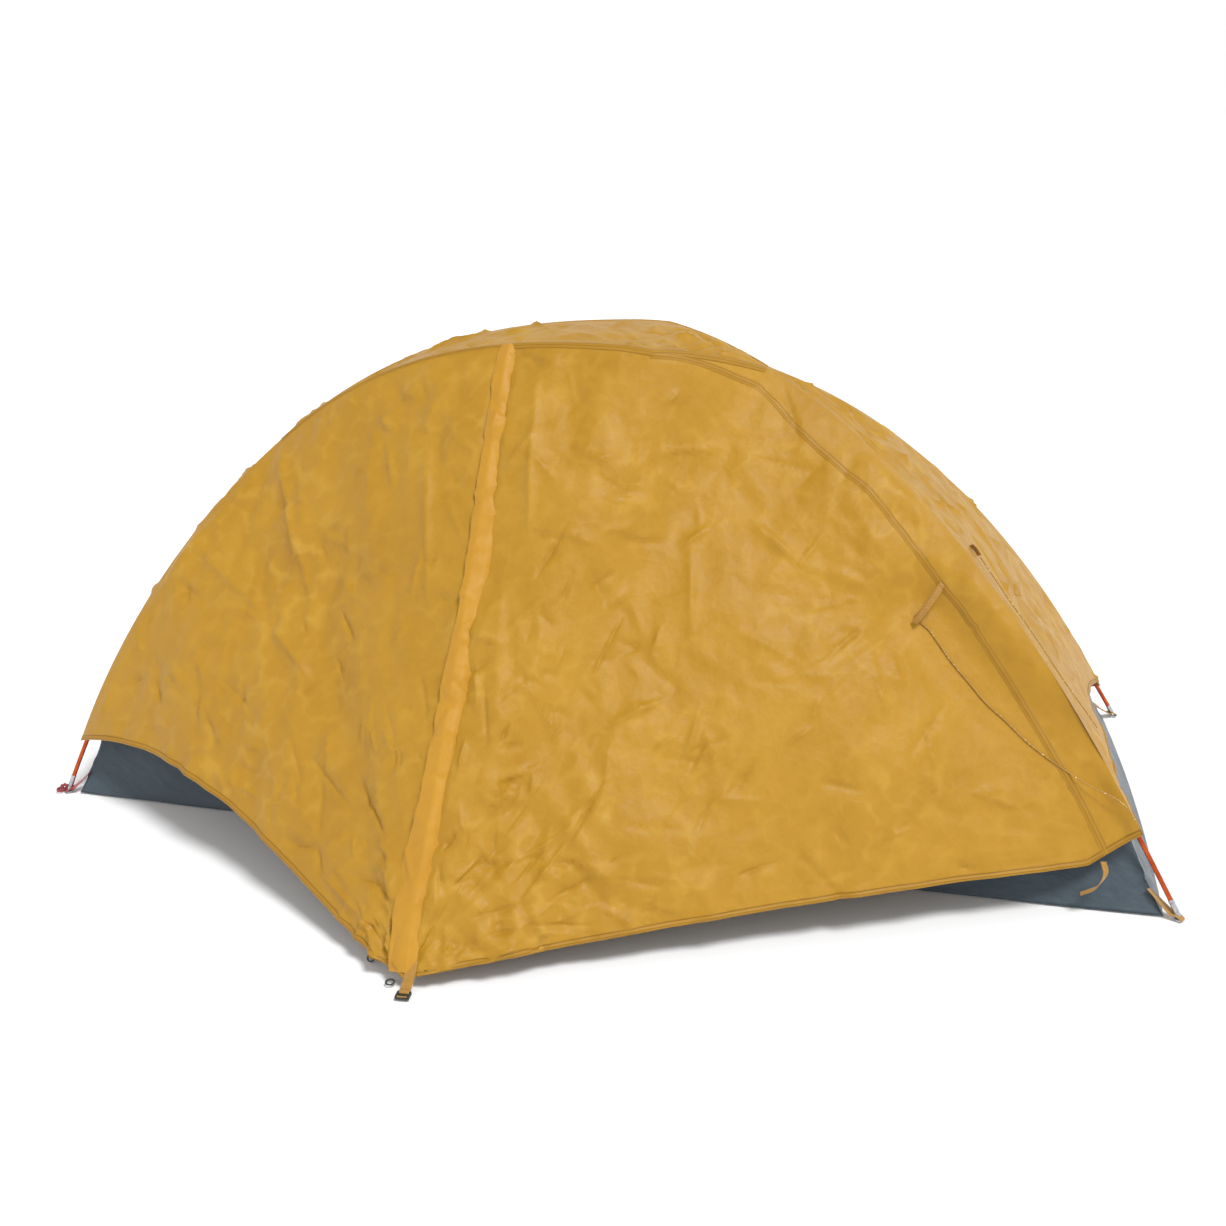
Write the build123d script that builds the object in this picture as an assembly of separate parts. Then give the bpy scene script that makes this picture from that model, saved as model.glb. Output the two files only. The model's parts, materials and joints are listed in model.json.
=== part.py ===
from build123d import *
import math
import os

# One-person camping tent with a hubbed pole frame, an inner canopy and a rain fly.
# Origin: middle of the floor's underside. +X runs to the head end, +Y to the back, +Z up.
# The door side, with its staked porch, faces -Y.

# Arch of the frame, seen from the side
half_length = 1150
peak_x = 36
peak_height = 983
foot_power, foot_root = 2.504, 1.212
head_power, head_root = 2.013, 1.067

# Hubs and the spread of the legs beyond them
foot_hub_x = -685
head_hub_x = 332
foot_spread = 260
head_spread = 443
foot_leg_bow = 0.25

# Poles
pole_radius = 4.5
pole_bore = 3.7
pole_inset = 19
hub_half = 14
inset_full_height = 150
side_full_spread = 60
ridge_sections = 3
head_leg_sections = 3
foot_leg_sections = 2
ferrule_radius = 3.6
ferrule_bore = 2.4
ferrule_length = 60
shock_cord_radius = 1.3
hub_radius = 12
socket_radius = 7.5
socket_bore = 4.7
socket_length = 32
socket_floor = 12
tip_radius = 5.2
tip_length = 32
tip_ball = 4.0
leg_end_height = 8

# Cross pole over the peak
cross_x = 121
cross_half = 140
cross_radius = 4.0
cross_pole_half = 130
cross_lift = 11
cross_bore = 3.2
cross_cap_radius = 4.6
cross_cap_length = 18
saddle_radius = 5.9
saddle_bore = 4.65
saddle_length = 18

# Fabric
fabric_thickness = 2.0
canopy_thickness = 1.5
canopy_inset = 46
floor_scale = 0.945
tub_height = 130
tub_wall = 2.0

# Rain fly
foot_corner_x = -1112
head_near_corner_x = 1072
head_far_corner_x = 1108
zip_top_x = -165
stake_point = Vector(-215, -857, 22)
door_corner = Vector(980, -430, 95)
far_hem_bow = 60
far_hem_drop = 25
foot_hem_arch = 0.12
head_hem_arch = 0.105
near_hem_arch = 0.10
hinge_gap = 4
shoulder_start = 15
foot_leg_stations = 6
foot_roof_stations = 5
head_roof_stations = 3
head_leg_stations = 8
seam_stretch = 1.2

# Porch zip, measured from the zip line: across it and out from the fly
zip_edge_gap = 4
zip_head_gap = 6
tape_inner = 3.0
tape_outer = 14.0
tape_lift = 1.7
tape_thickness = 1.0
coil_offset = 2.2
coil_radius = 1.3
coil_lift = 1.0
zip_end_gap = 25
slider_length = 14
slider_rest = 45
flap_inner = 42
flap_outer = -22
flap_lift = 13
flap_low_gap = 12
flap_top_gap = 60
flap_thickness = 1.5

# Clips that hang the canopy: x along the pole, and which sides
clip_places = [(-1010, (-1, 1)), (-880, (-1, 1)), (-560, (1,)), (-350, (1,)), (-120, (1,)),
               (230, (1,)), (560, (-1, 1)), (800, (-1, 1)), (980, (-1, 1))]
clip_radius = 7.2
clip_bore = 4.8
clip_mouth = 6.5
clip_tab = 12
clip_wall = 2.4
clip_tape_thickness = 1.2
tape_clearance = 3.0
clip_width = 9

# Inner door
inner_door_foot_x = -430
inner_door_head_x = head_hub_x
inner_door_top = 0.85
inner_zip_gap = 4
inner_tape_lift = 2.4
inner_tape_width = 12
inner_tape_thickness = 1.2
inner_slider_lift = 5.0
inner_slider_rest = 30
inner_slider_section = (10, 4)
inner_slider_length = 12
header_gap = 0.01
seam_gap = 0.5
end_wall_gap = 3

# Webbing and hardware
webbing_width = 20
webbing_thickness = 1.5
webbing_seam = 0.26
webbing_dip = 4
grommet_height = 3
ring_thickness = 2
grommet_bore = 5.2
grommet_radius = 9.5
stake_loop_bore = 6.0
stake_loop_radius = 8.5
buckle_width = 26
buckle_length = 22
buckle_thickness = 4
buckle_centre = Vector(-213, -881, 5)
buckle_slot = (19, 4)
strap_end = Vector(-213, -867.2, 6)
porch_loops = [(Vector(-300, -783, 8), Vector(-0.35, -0.55, 0.76)),
               (Vector(-246, -848, 6), Vector(0, 0, 1))]
porch_loop_bore = 6.5
porch_loop_radius = 9.0
porch_loop_thickness = 2.6
guy_webbing_width = 12
guy_webbing_thickness = 2.4
guy_loop_near = (Vector(684, -249, 571), Vector(640, -274, 511))
guy_loop_end = (Vector(741, -145, 614), Vector(756, -163, 600))

# Guy cords, stowed against the fly: tied to a guy loop and to the fly's hem
cord_radius = 1.25
near_cord_route = [
    (641, -276, 507), (660, -279, 498), (684, -289, 468), (712, -306, 434), (745, -319, 402),
    (776, -332, 368), (814, -343, 341), (852, -357, 307), (893, -367, 280), (934, -377, 256),
    (974, -384, 234), (1014, -390, 221), (1046, -396, 200), (1060, -405, 173),
]
end_cord_route = [
    (758, -167, 600), (777, -197, 580), (806, -233, 548), (840, -256, 508), (876, -276, 464),
    (910, -290, 417), (944, -288, 371), (972, -270, 330), (994, -254, 296),
]

tent_middle = Vector(0, 0, 300)
seam_out = {}


def arch_height(x):
    """Height of the fly over the ground along the arch."""
    reach = half_length + peak_x if x < peak_x else half_length - peak_x
    power, root = (foot_power, foot_root) if x < peak_x else (head_power, head_root)
    fall = min(1, (abs(x - peak_x) / reach) ** power)
    return peak_height * (1 - fall) ** (1 / root)


def leg_spread(x):
    """Distance of a leg from the tent's middle plane."""
    if x > head_hub_x:
        return head_spread * (x - head_hub_x) / (half_length - head_hub_x)
    if x < foot_hub_x:
        part = (foot_hub_x - x) / (half_length + foot_hub_x)
        return foot_spread * ((1 + foot_leg_bow) * part - foot_leg_bow * part**2)
    return 0


def arch_line(x, side):
    """A point on the frame's line: the ridge between the hubs and one leg beyond each."""
    return Vector(x, side * leg_spread(x), arch_height(x))


def inward(x, side):
    """Unit direction from the arch line into the tent, square to the pole."""
    step = 1.0 if x < 0 else -1.0
    point = arch_line(x, side)
    tangent = (arch_line(x + step, side) - point).normalized()
    sideways = Vector(0, -side, 0) * min(1, leg_spread(x) / side_full_spread)
    aim = (tent_middle - point).normalized() + sideways
    return (aim - tangent * aim.dot(tangent)).normalized()


def pole_line(x, side):
    """Centre line of a pole, just inside the fly and bare at the ground."""
    point = arch_line(x, side)
    inset = pole_inset * min(1, point.Z / inset_full_height)
    return point + inward(x, side) * inset


def canopy_line(x, side):
    """Top edge of the inner canopy, a few centimetres inside the poles."""
    return arch_line(x, side) + inward(x, side) * canopy_inset


def kite_half(x):
    """Half width of the roof strip, which the cross pole spreads and the hubs pinch."""
    if x < cross_x:
        return mix(hub_half, cross_half, (x - foot_hub_x) / (cross_x - foot_hub_x))
    return mix(hub_half, cross_half, (head_hub_x - x) / (head_hub_x - cross_x))


def fly_edge(x, side):
    """Crease of the fly: edge of the roof strip between the hubs, hip over a leg beyond them."""
    if foot_hub_x < x < head_hub_x:
        return Vector(x, side * kite_half(x), arch_height(x))
    return Vector(x, side * math.hypot(leg_spread(x), hub_half), arch_height(x))


def mix(start, end, part):
    return start + (end - start) * part


def even_x(line, start_x, end_x, count):
    """x values that divide a line into equal lengths."""
    samples = 600
    xs = [start_x + (end_x - start_x) * i / samples for i in range(samples + 1)]
    run = [0]
    for a, b in zip(xs, xs[1:]):
        run.append(run[-1] + (line(b) - line(a)).length)
    stations = []
    for i in range(count + 1):
        goal = run[-1] * i / count
        index = min(range(len(run)), key=lambda k: abs(run[k] - goal))
        stations.append(xs[index])
    return stations


def spot(point):
    """A point's coordinates, rounded so that equal points compare equal."""
    return (round(point.X, 3), round(point.Y, 3), round(point.Z, 3))


def seam_point(line, x, side):
    """A point on a line that two panels share. Their edges there point the same way out."""
    point = line(x, side)
    seam_out[spot(point)] = inward(x, side) * -seam_stretch
    return point


def crease_stations(head_corner_x):
    """x values along the crease, the same for every panel that meets there."""
    breaks = [foot_corner_x, foot_hub_x, zip_top_x, cross_x, head_hub_x, head_corner_x]
    counts = [foot_leg_stations, foot_roof_stations, head_roof_stations, head_roof_stations,
              head_leg_stations]
    stations = [foot_corner_x]
    for low, high, count in zip(breaks, breaks[1:], counts):
        stations += even_x(lambda x: fly_edge(x, 1), low, high, count)[1:]
    return stations


def panel(rows, thickness=fabric_thickness, lift=0, away_from=tent_middle):
    """Closed sheet through a grid of points, of even thickness but for its mitred seams."""
    columns = len(rows[0])
    spots = {}
    corners = []
    for i in range(len(rows) - 1):
        for j in range(columns - 1):
            a, b = rows[i][j], rows[i][j + 1]
            c, d = rows[i + 1][j + 1], rows[i + 1][j]
            for triangle in ((a, b, c), (a, c, d)):
                if len({spot(p) for p in triangle}) == 3:
                    corners.append(triangle)
    for a, b, c in corners:
        normal = (b - a).cross(c - a)
        for point in (a, b, c):
            spots[spot(point)] = spots.get(spot(point), Vector(0, 0, 0)) + normal
    facing = sum((n.normalized().dot(Vector(*s) - away_from) for s, n in spots.items()))
    flip = 1 if facing > 0 else -1

    def shifted(point, distance):
        square = spots[spot(point)].normalized() * flip
        return point + seam_out.get(spot(point), square) * distance

    faces = []

    def add_face(*points):
        ring = [p for k, p in enumerate(points) if (p - points[k - 1]).length > 1e-4]
        if len(ring) >= 3:
            faces.append(Face(Wire.make_polygon(ring, close=True)))

    outer, inner = lift + thickness / 2, lift - thickness / 2
    edges = {}
    for triangle in corners:
        add_face(*[shifted(p, outer) for p in triangle])
        add_face(*[shifted(p, inner) for p in reversed(triangle)])
        for p, q in zip(triangle, triangle[1:] + triangle[:1]):
            key = frozenset((spot(p), spot(q)))
            edges[key] = None if key in edges else (p, q)
    for pair in filter(None, edges.values()):
        p, q = sorted(pair, key=spot)
        add_face(shifted(p, outer), shifted(p, inner), shifted(q, inner))
        add_face(shifted(p, outer), shifted(q, inner), shifted(q, outer))
    return Solid(Shell(faces))


def strip(centres, half_across, thickness, lift=0, away_from=tent_middle):
    """Flat tape along a few points, half_across to each side."""
    rows = [[p - half_across, p + half_across] for p in centres]
    return panel(rows, thickness, lift, away_from)


def rod(start, end, radius, bore=0):
    """Straight round bar or tube between two points."""
    plane = Plane(origin=start, z_dir=end - start)
    bar = plane * extrude(Circle(radius), (end - start).length)
    if bore:
        bar -= plane * extrude(Circle(bore), (end - start).length)
    return bar


def tube(path, radius, bore=0):
    """Round tube along an arc."""
    plane = Plane(origin=path @ 0, z_dir=path % 0)
    ring = Circle(radius) - Circle(bore) if bore else Circle(radius)
    return sweep(plane * ring, path=path)


def save(name, *shapes):
    """Write one node, which may be a group of separate solids."""
    solids = [solid for shape in shapes for solid in shape.solids()]
    node = solids[0] if len(solids) == 1 else Compound(children=solids)
    export_step(node, f"parts/{name}.step")


# ---------------------------------------------------------------- pole frame

def x_at_height(height, sign):
    """x of the fly line at a height near the ground, towards the head (1) or the foot (-1)."""
    low, high = 0, half_length
    while high - low > 0.01:
        middle = (low + high) / 2
        if pole_line(sign * middle, 1).Z > height:
            low = middle
        else:
            high = middle
    return sign * low


def pole_run(start_x, end_x, side, count):
    """Arcs of one run of pole sections, from start_x to end_x."""
    xs = even_x(lambda x: pole_line(x, side), start_x, end_x, 2 * count)
    points = [pole_line(x, side) for x in xs]
    return [ThreePointArc(*points[2 * k:2 * k + 3]) for k in range(count)]


def ferrule(before, after):
    """Insert that joins two sections, at the end of the first."""
    direction = ((before % 1) + (after % 0)).normalized()
    middle = before @ 1
    half = direction * (ferrule_length / 2)
    return rod(middle - half, middle + half, ferrule_radius, ferrule_bore)


def hub(x, directions):
    """Moulded hub with one socket for each pole that meets there."""
    centre = pole_line(x, 1)
    body = Pos(*centre) * Sphere(hub_radius)
    for direction in directions:
        body += rod(centre, centre + direction * socket_length, socket_radius)
    for direction in directions:
        body -= rod(centre + direction * socket_floor,
                    centre + direction * (socket_length + 1), socket_bore)
    return body


def pole_tip(arc):
    """Metal foot at a leg's lower end: a sleeve round the pole and a ball that meets the ground."""
    end = arc @ 1
    up = (arc % 1) * -1
    sleeve = rod(end, end + up * tip_length, tip_radius, pole_radius)
    ball_centre = end - up * ((leg_end_height - tip_ball) / up.Z)
    cap = rod(ball_centre, end, tip_ball)
    ball = Pos(*ball_centre) * Sphere(tip_ball)
    return sleeve + rod(end - up * 1.5, end, tip_radius) + cap + ball


def pole_frame():
    sections = {}
    ridge = pole_run(foot_hub_x + socket_floor, head_hub_x - socket_floor, 1, ridge_sections)
    for k, arc in enumerate(ridge):
        sections[f"ridge_section_{k + 1}"] = arc
    runs = {"ridge": ridge}
    for side, word in ((-1, "near"), (1, "far")):
        for end, hub_x, sign, count in (("head", head_hub_x, 1, head_leg_sections),
                                        ("foot", foot_hub_x, -1, foot_leg_sections)):
            leg_end_x = x_at_height(leg_end_height, sign)
            leg = pole_run(hub_x + sign * socket_floor, leg_end_x, side, count)
            for k, arc in enumerate(leg):
                sections[f"{end}_leg_{word}_{k + 1}"] = arc
            runs[end, side] = leg
    for name, arc in sections.items():
        save(name, tube(arc, pole_radius, pole_bore))
    joints = [ferrule(a, b) for run in runs.values() for a, b in zip(run, run[1:])]
    save("pole_ferrules", *joints)
    save("shock_cord", *[tube(arc, shock_cord_radius) for arc in sections.values()])
    legs = [run for name, run in runs.items() if name != "ridge"]
    save("pole_tips", *[pole_tip(leg[-1]) for leg in legs])
    head_legs = [sections[f"head_leg_{word}_1"] for word in ("near", "far")]
    foot_legs = [sections[f"foot_leg_{word}_1"] for word in ("near", "far")]
    save("head_hub", hub(head_hub_x, [(ridge[-1] % 1) * -1] + [leg % 0 for leg in head_legs]))
    save("foot_hub", hub(foot_hub_x, [ridge[0] % 0] + [leg % 0 for leg in foot_legs]))
    return runs


def on_run(run, x):
    """Centre and direction of a run of pole sections at x."""
    for arc in run:
        start, end = (arc @ 0).X, (arc @ 1).X
        if min(start, end) <= x <= max(start, end):
            low, high = 0.0, 1.0
            while high - low > 1e-5:
                middle = (low + high) / 2
                if ((arc @ middle).X - x) * (end - start) < 0:
                    low = middle
                else:
                    high = middle
            return arc @ low, arc % low
    raise ValueError(f"no pole at x = {x}")


def cross_pole(ridge_run):
    """Short pole over the ridge, held on a swivel, which spreads the roof."""
    ridge, along_ridge = on_run(ridge_run, cross_x)
    height = ridge.Z + cross_lift
    ends = [Vector(cross_x, sign * cross_pole_half, height) for sign in (-1, 1)]
    along = Vector(0, 1, 0)
    save("cross_pole", rod(ends[0] + along * 3, ends[1] - along * 3, cross_radius, cross_bore))
    caps = []
    for end, sign in zip(ends, (-1, 1)):
        inner_end = end - along * (sign * cross_cap_length)
        cap = rod(end, inner_end, cross_cap_radius) - rod(end - along * (sign * 3), inner_end, cross_radius)
        caps.append(cap)
    save("cross_pole_caps", *caps)
    place = Plane(origin=ridge, z_dir=along_ridge)
    pivot_base = Pos(cross_x, 0, ridge.Z + saddle_radius - 0.1) * Cylinder(4, 1.8)
    saddle = place * Cylinder(saddle_radius, saddle_length) + pivot_base
    save("cross_pole_saddle", saddle - place * Cylinder(saddle_bore, 3 * saddle_length))


def canopy_clips(runs):
    """Hooks that hang the inner canopy from the poles, each with its tape."""
    hooks = []
    tapes = []
    for x, sides in clip_places:
        for side in sides:
            run = "ridge" if foot_hub_x < x < head_hub_x else ("head" if x > 0 else "foot", side)
            centre, along = on_run(runs[run], x)
            down = inward(x, side)
            down = (down - along * down.dot(along)).normalized()
            place = Plane(origin=centre, x_dir=down, z_dir=along)
            ring = Circle(clip_radius) - Circle(clip_bore)
            ring -= Pos(-clip_radius, 0) * Rectangle(2 * clip_radius, clip_mouth)
            tab = Pos(clip_bore + clip_tab / 2 + clip_wall / 4, 0) * Rectangle(clip_tab, clip_wall)
            hook = extrude(place * (ring + tab), clip_width / 2, both=True)
            hooks.append(hook)
            tab_end = clip_bore + clip_tab + clip_wall / 4
            gap = canopy_inset - pole_inset - tab_end - tape_clearance
            tape = Pos(tab_end + gap / 2, 0) * Rectangle(gap, clip_tape_thickness)
            tape = extrude(place * tape, clip_width * 0.4, both=True)
            tapes.append(tape)
    save("canopy_clips", *hooks)
    save("clip_tapes", *tapes)


# ------------------------------------------------------------- inner canopy

def floor_corners(z):
    """The floor's four corners, counter-clockwise, at the ground or at the top of the tub."""
    if z == 0:
        head = arch_line(half_length, 1) * floor_scale
        foot = arch_line(-half_length, 1) * floor_scale
    else:
        head = canopy_line(canopy_corner(1), 1)
        foot = canopy_line(canopy_corner(-1), 1)
    return [Vector(foot.X, -foot.Y, z), Vector(head.X, -head.Y, z),
            Vector(head.X, head.Y, z), Vector(foot.X, foot.Y, z)]


def canopy_corner(sign):
    """x of the crease whose inner canopy point is at the top of the tub."""
    low, high = 0, half_length
    while high - low > 0.01:
        middle = (low + high) / 2
        if canopy_line(sign * middle, 1).Z > tub_height:
            low = middle
        else:
            high = middle
    return sign * low


def tub_shape(inset):
    """Solid between the floor outline and the top of the tub, drawn in by inset."""
    bottom, top = floor_corners(0), floor_corners(tub_height)

    def drawn_in(points, z):
        return Wire.make_polygon([Vector(p.X - math.copysign(inset, p.X),
                                         p.Y - math.copysign(inset, p.Y), z) for p in points])

    return Solid.make_loft([drawn_in(bottom, 0), drawn_in(top, tub_height)], ruled=True)


def bathtub_floor():
    """Waterproof floor whose edges turn up into low walls."""
    hollow = Pos(0, 0, tub_wall) * tub_shape(tub_wall)
    save("bathtub_floor", tub_shape(0) - hollow)


def wall_point(x, side, part):
    """A point on the inner canopy's long wall: part 0 on the tub, 1 on the canopy line."""
    corners = floor_corners(tub_height)
    foot, head = (corners[0], corners[1]) if side < 0 else (corners[3], corners[2])
    top = canopy_line(x, side)
    base = mix(foot, head, (top.X - foot.X) / (head.X - foot.X)) + Vector(0, 0, seam_gap)
    return mix(base, top, part)


def wall(name, xs, side, low=0, high=1, columns=4):
    """Part of a long wall between two heights, given as parts of the wall's height."""
    rows = []
    for x in xs:
        row = [wall_point(x, side, mix(low, high, j / columns)) for j in range(columns)]
        top = wall_point(x, side, high) if high < 1 else seam_point(canopy_line, x, side)
        rows.append(row + [top])
    save(name, panel(rows, canopy_thickness))


def canopy_end(name, xs):
    """End wall of the inner canopy, between the two legs."""
    rows = []
    for x in xs:
        near, far = (seam_point(canopy_line, x, side) for side in (-1, 1))
        rows.append([near] + [mix(near, far, part) for part in (0.25, 0.5, 0.75)] + [far])
    save(name, panel(rows, canopy_thickness))


def canopy_stations(start_x, end_x, count):
    return even_x(lambda x: canopy_line(x, 1), start_x, end_x, count)


def inner_canopy():
    foot_leg = canopy_stations(canopy_corner(-1) + end_wall_gap, foot_hub_x, 4)
    foot_wall = canopy_stations(foot_hub_x, inner_door_foot_x, 3)
    door_wall = canopy_stations(inner_door_foot_x, inner_door_head_x, 8)
    head_leg = canopy_stations(inner_door_head_x, canopy_corner(1) - end_wall_gap, 6)
    wall("canopy_back_wall", foot_leg + foot_wall[1:] + door_wall[1:] + head_leg[1:], 1)
    wall("canopy_front_foot", foot_leg + foot_wall[1:], -1)
    wall("canopy_front_head", head_leg, -1)
    door_wall[0] += inner_zip_gap
    door_wall[-1] -= inner_zip_gap
    wall("canopy_front_header", door_wall, -1, low=inner_door_top + header_gap, columns=1)
    wall("inner_door", door_wall, -1, high=inner_door_top)
    canopy_end("canopy_head_end", head_leg)
    canopy_end("canopy_foot_end", foot_leg)
    low = wall_point(inner_door_foot_x, -1, 0.01)
    high = wall_point(inner_door_foot_x, -1, inner_door_top)
    along = (high - low).normalized()
    across = Vector(1, 0, 0)
    out = along.cross(across).normalized()
    if out.Y > 0:
        out = out * -1
    zip_line = across * (inner_zip_gap / 2)
    centre = [mix(low, high, part) + out * inner_tape_lift + zip_line for part in (0, 0.5, 1)]
    save("inner_door_zip", strip(centre, across * (inner_tape_width / 2), inner_tape_thickness))
    place = low + along * inner_slider_rest + out * inner_slider_lift + zip_line
    section = Plane(origin=place, x_dir=across, z_dir=along) * RectangleRounded(*inner_slider_section, 1)
    save("inner_door_slider", extrude(section, inner_slider_length))


# ------------------------------------------------------------------ rain fly

def end_panel(name, near_xs, far_xs, arch, columns=6):
    """Panel between two legs, with its hem cut in a shallow arch."""
    count = len(near_xs) - 1
    rows = []
    for i in range(count + 1):
        row = [seam_point(fly_edge, near_xs[i], -1)]
        for j in range(1, columns):
            across = j / columns
            part = i * (1 - arch * 4 * across * (1 - across))
            near = fly_edge(station_at(near_xs, part), -1)
            far = fly_edge(station_at(far_xs, part), 1)
            row.append(mix(near, far, across))
        row.append(seam_point(fly_edge, far_xs[i], 1))
        rows.append(row)
    save(name, panel(rows))


def station_at(xs, place):
    """x at a place along a list of stations, such as 2.5 for halfway from the third to the fourth."""
    index = min(int(place), len(xs) - 2)
    return mix(xs[index], xs[index + 1], place - index)


def roof():
    rows = []
    for x in near_stations:
        if foot_hub_x <= x <= head_hub_x:
            near, far = (seam_point(fly_edge, x, side) for side in (-1, 1))
            rows.append([near, mix(near, far, 0.5), far])
    save("fly_roof", panel(rows))


def far_side(columns=4):
    foot, head = fly_edge(foot_corner_x, 1), fly_edge(head_far_corner_x, 1)
    rows = []
    for x in far_stations:
        part = (x - foot.X) / (head.X - foot.X)
        bow = 4 * part * (1 - part)
        hem = mix(foot, head, part) + Vector(0, far_hem_bow * bow, -far_hem_drop * bow)
        top = seam_point(fly_edge, x, 1)
        rows.append([mix(top, hem, j / columns) for j in range(columns + 1)])
    save("fly_far_side", panel(rows))


def zip_top():
    return fly_edge(zip_top_x, -1)


def porch_foot_panel(columns=8):
    """Porch panel between the near foot leg and the zip, with its hem cut in an arch."""
    xs = [x for x in near_stations if x <= zip_top_x]
    count = len(xs) - 1
    along = (zip_top() - stake_point).normalized()
    inset = foot_normal().cross(along).normalized() * zip_edge_gap
    if inset.X > 0:
        inset = inset * -1
    shift = inset - along * zip_head_gap
    rows = []
    for i in range(count + 1):
        row = [seam_point(fly_edge, xs[i], -1) if i < count else zip_top() + shift]
        for j in range(1, columns + 1):
            down = j / columns
            start = near_hem_arch * 4 * down * (1 - down)
            top = fly_edge(station_at(xs, (start + (1 - start) * i / count) * count), -1)
            row.append(mix(top, stake_point, down) + shift * (i / count))
        rows.append(row)
    save("fly_porch_foot_panel", panel(rows))


def plane_normal(a, b, c):
    normal = (b - a).cross(c - a).normalized()
    return normal if normal.Y < 0 else normal * -1


def foot_normal():
    return plane_normal(zip_top(), stake_point, fly_edge(foot_corner_x, -1))


def door_normal():
    return plane_normal(zip_top(), stake_point, door_corner)


def head_shoulder(columns=4):
    """Fixed part of the porch's head side, between the crease and the door's hinge line."""
    hinge = (door_corner - zip_top()).normalized()
    up = hinge.cross(door_normal()).normalized()
    if up.Z < 0:
        up = up * -1
    first = zip_top() + hinge * shoulder_start + up * hinge_gap
    last = door_corner + up * hinge_gap
    xs = [x for x in near_stations if x > zip_top_x]
    rows = [[first] * (columns + 1)]
    for i, x in enumerate(xs):
        low = mix(first, last, (i + 1) / len(xs))
        rows.append([mix(seam_point(fly_edge, x, -1), low, j / columns) for j in range(columns + 1)])
    save("fly_head_shoulder", panel(rows))


def porch_door():
    """Flat triangular door, hinged along its top edge, with the zip on its foot side."""
    top, stake, corner = zip_top(), stake_point, door_corner
    middle = (top + stake + corner) / 3
    sides = [(top, corner, hinge_gap), (corner, stake, 0), (stake, top, zip_edge_gap)]
    outline = []
    for k in range(3):
        a0, a1, inset_a = sides[k - 1]
        b0, b1, inset_b = sides[k]
        in_a = square_to(a1 - a0, middle - a0)
        in_b = square_to(b1 - b0, middle - b0)
        turn = in_a.cross(in_b).length ** 2
        dot = in_a.dot(in_b)
        shift = in_a * ((inset_a - dot * inset_b) / turn) + in_b * ((inset_b - dot * inset_a) / turn)
        outline.append(b0 + shift)
    rows = []
    for i in range(5):
        left = mix(outline[0], outline[2], i / 4)
        right = mix(outline[1], outline[2], i / 4)
        rows.append([mix(left, right, j / 4) for j in range(5)])
    save("fly_door", panel(rows))


def square_to(direction, toward):
    direction = direction.normalized()
    return (toward - direction * toward.dot(direction)).normalized()


def porch_zip():
    """Zip down the porch: a tape and a coil on each edge, a slider, and the storm flap over it."""
    top, stake = zip_top(), stake_point
    along = (top - stake).normalized()
    low = stake + along * zip_end_gap
    high = top - along * zip_end_gap
    out = (foot_normal() + door_normal()).normalized()
    for name, normal, toward in (("zip_tape_foot_side", foot_normal(), fly_edge(foot_corner_x, -1)),
                                 ("zip_tape_door_side", door_normal(), door_corner)):
        across = square_to(along, toward - stake)
        middle = across * ((tape_inner + tape_outer) / 2) + normal * tape_lift
        centres = [mix(low, high, part) + middle for part in (0, 0.5, 1)]
        tape = strip(centres, across * ((tape_outer - tape_inner) / 2), tape_thickness)
        side = across - out * across.dot(out)
        shift = side.normalized() * coil_offset + out * coil_lift
        coil = rod(low + shift, high + shift, coil_radius)
        save(name, tape + coil)
    side = out.cross(along).normalized()
    place = Plane(origin=low + along * slider_rest, x_dir=side, z_dir=along)
    outer_plate = Pos(0, 3.7) * RectangleRounded(10, 1.6, 0.6)
    inner_plate = Pos(0, -1.6) * Rectangle(6.0, 1.2)
    web = Pos(0, 0.9) * Rectangle(0.9, 6.0)
    save("porch_zip_slider", extrude(place * (outer_plate + inner_plate + web), slider_length))


def corner_webbing():
    """Webbing from each floor corner to a grommet that takes the pole's tip, with a stake loop."""
    tabs = {"head": [], "foot": []}
    grommets = []
    loops = []
    for sign, end in ((1, "head"), (-1, "foot")):
        for side in (-1, 1):
            leg = pole_runs[end, side][-1]
            up = (leg % 1) * -1
            tip = leg @ 1 - up * ((leg_end_height - tip_ball) / up.Z)
            low, high = [corner for corner in floor_pairs() if corner[0].X * sign > 0
                         and corner[0].Y * side > 0][0]
            seam = mix(low, high, webbing_seam)
            level = Vector(tip.X, tip.Y, grommet_height)
            inwards = (Vector(low.X, low.Y, grommet_height) - level).normalized()
            start = level + inwards * (grommet_radius + seam_gap)
            across = inwards.cross(Vector(0, 0, 1)) * (webbing_width / 2)
            path = [start, mix(start, seam, 0.5) - Vector(0, 0, webbing_dip), seam - inwards]
            tabs[end].append(strip(path, across, webbing_thickness, away_from=Vector(0, 0, -500)))
            ring = Cylinder(grommet_radius, ring_thickness) - Cylinder(grommet_bore, ring_thickness)
            grommets.append(Pos(*level) * ring)
            if end == "foot":
                out = level - inwards * (grommet_radius + stake_loop_radius + seam_gap)
                loop = Cylinder(stake_loop_radius, ring_thickness) - Cylinder(stake_loop_bore, ring_thickness)
                loops.append(Pos(*out) * loop)
    save("corner_webbing_head", *tabs["head"])
    save("corner_webbing_foot", *tabs["foot"])
    save("corner_grommets", *grommets)
    save("corner_stake_loops", *loops)


def floor_pairs():
    return list(zip(floor_corners(0), floor_corners(tub_height)))


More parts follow.
